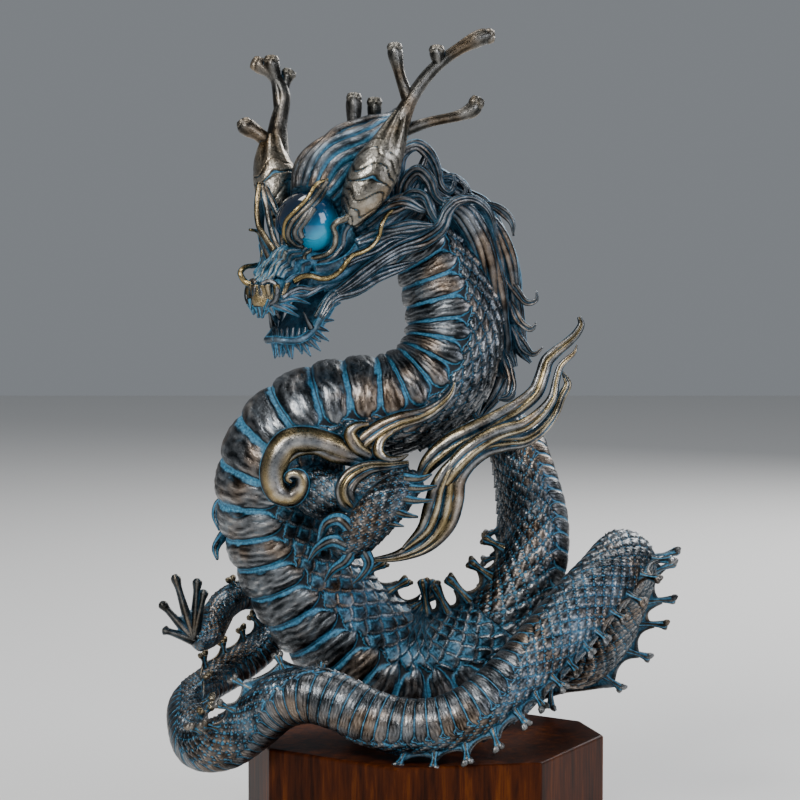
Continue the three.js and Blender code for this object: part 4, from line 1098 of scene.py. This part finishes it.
# ---- Tail fan ----
TAIL_ROOT = np.array([-104, 3, 92])
TAIL_TIPS = np.array([[-118, -2, 109], [-112, 0, 121], [-102, 2, 119], [-99, 2, 114], [-117, -3, 97]])
RAY_SHAPE = ((0, 3.0), (0.45, 2.0), (0.8, 1.6), (0.95, 2.2), (1, 1.2))  # share along a ray, radius
fan = Shell()
for tip in TAIL_TIPS:
    rod = [[*(TAIL_ROOT + (tip - TAIL_ROOT) * t), r] for t, r in RAY_SHAPE]
    strand(fan, rod, sides=12, steps=24, patina=0.34, gilt=0.3, flutes=4, depth=0.2, low=0.3)
order = TAIL_TIPS[[4, 0, 1, 2, 3]]
for one, two in zip(order[:-1], order[1:]):
    half = np.linalg.norm(one - two) / 2
    middle = (one + two) / 2 - TAIL_ROOT
    web = [[*(TAIL_ROOT + middle * t), max(0.8, half * t)] for t in (0.05, 0.2, 0.36, 0.46)]
    strand(fan, web, sides=20, steps=14, flat=1.2 / half, patina=0.65, gilt=0.1)
fan.piece("tail_fan", bronze)


# ---- Glass orb ----
ORB_RADIUS = 13.7


def orb_piece():
    """A ball as rings of latitude, closed at both poles."""
    shell = Shell()
    polar = np.linspace(0.02, np.pi - 0.02, 49)[:, None]
    turn = -ring_angles(96)[None, :]
    polar, turn = np.broadcast_arrays(polar, turn)
    ball = np.stack([np.sin(polar) * np.cos(turn), np.sin(polar) * np.sin(turn), np.cos(polar)], -1)
    shell.add(HEAD_AT + ORB_RADIUS * ball)
    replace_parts(shell.piece("orb_glass", orb_glass()), "orb")


orb_piece()


# ---- Plinth ----
PLINTH_HEIGHT = 50.0
CORNER_ROUND = 1.6  # radius of its upright corners
TOP_ROUND = 1.3  # radius of its top edge


def plinth_outline(inset):
    """The eight-sided outline moved in by `inset`, each corner rounded to CORNER_ROUND and followed by a
    point 0.4 mm along the flat, so the flats stay flat in the light."""
    h, a, b = 75.0, 31.0, 18.0
    corners = np.array([[-a, -h], [a, -h], [h, -b], [h, b], [a, h], [-1.5 * a, h], [-h, 1.9 * b], [-h, -b]])
    into, out = unit(corners - np.roll(corners, 1, 0)), unit(np.roll(corners, -1, 0) - corners)
    bend = np.arccos(np.clip((into * out).sum(1), -1, 1))
    cut = CORNER_ROUND * np.tan(bend / 2)
    t = np.linspace(0, 1, 7)
    points = []
    for corner, i, o, angle, c in zip(corners, into, out, bend, cut):
        normal = np.array([i[1], -i[0]])
        middle = corner - i * c - normal * CORNER_ROUND
        swing = t * angle
        arc = normal * np.cos(swing)[:, None] + i * np.sin(swing)[:, None]
        reach = CORNER_ROUND - inset
        points.append(middle + arc[0] * reach - i * 0.4)
        points += [middle + v * reach for v in arc]
        points.append(middle + arc[-1] * reach + o * 0.4)
    flat = np.array(points)
    turn = math.radians(12.8)
    return flat @ np.array([[math.cos(turn), math.sin(turn)], [-math.sin(turn), math.cos(turn)]])


def plinth_piece():
    """Outline rings stacked from the foot to the top, the top edge a quarter round of TOP_ROUND."""
    shell = Shell()
    swing = np.linspace(0, np.pi / 2, 7)
    levels = [(0.0, 0.5), (0.5, 0.0), (1.0, 0.0)] + [(z, 0.0) for z in (12, 24, 36, 48)]
    edge = PLINTH_HEIGHT - TOP_ROUND
    levels += [(edge + TOP_ROUND * math.sin(w), TOP_ROUND * (1 - math.cos(w))) for w in swing]
    levels += [(PLINTH_HEIGHT, 1.9)]
    rings = [np.column_stack([plinth_outline(min(i, 1.59)), np.full(72, z)]) for z, i in levels]
    rings.append(rings[-1] * [0.98, 0.98, 1])
    shell.add(np.array(rings))
    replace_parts(shell.piece("plinth_block", varnished_hardwood()), "plinth")


plinth_piece()


# ---- Floor, light, camera ----
def floor():
    mesh = bpy.data.meshes.new("floor")
    mesh.from_pydata([(-3, -3, 0), (3, -3, 0), (3, 3, 0), (-3, 3, 0)], [], [(0, 1, 2, 3)])
    mesh.materials.append(pale_floor())
    made = bpy.data.objects.new("floor", mesh)
    bpy.context.scene.collection.objects.link(made)


floor()
camera()
world = bpy.data.worlds.new("studio")
world.use_nodes = True
world.node_tree.nodes["Background"].inputs["Color"].default_value = hex_linear("#dfe6ee")
world.node_tree.nodes["Background"].inputs["Strength"].default_value = 0.28
bpy.context.scene.world = world
# Each light: name, place, size, watts, colour; all face the statue's middle.
for name, place, size, watts, colour in (
    ("key", (-0.7, -1.3, 1.2), (0.6, 0.5), 24, "#ffffff"),
    ("fill", (1.4, -0.8, 0.7), (0.7, 1.0), 15, "#eef3ff"),
    ("rim", (0.7, 1.2, 1.0), (0.6, 1.0), 20, "#ffffff"),
    ("top", (-0.2, 0.2, 1.7), (0.6, 0.6), 12, "#ffffff"),
):
    area_light(name, place, (0, 0, 0.2), size, watts, colour)
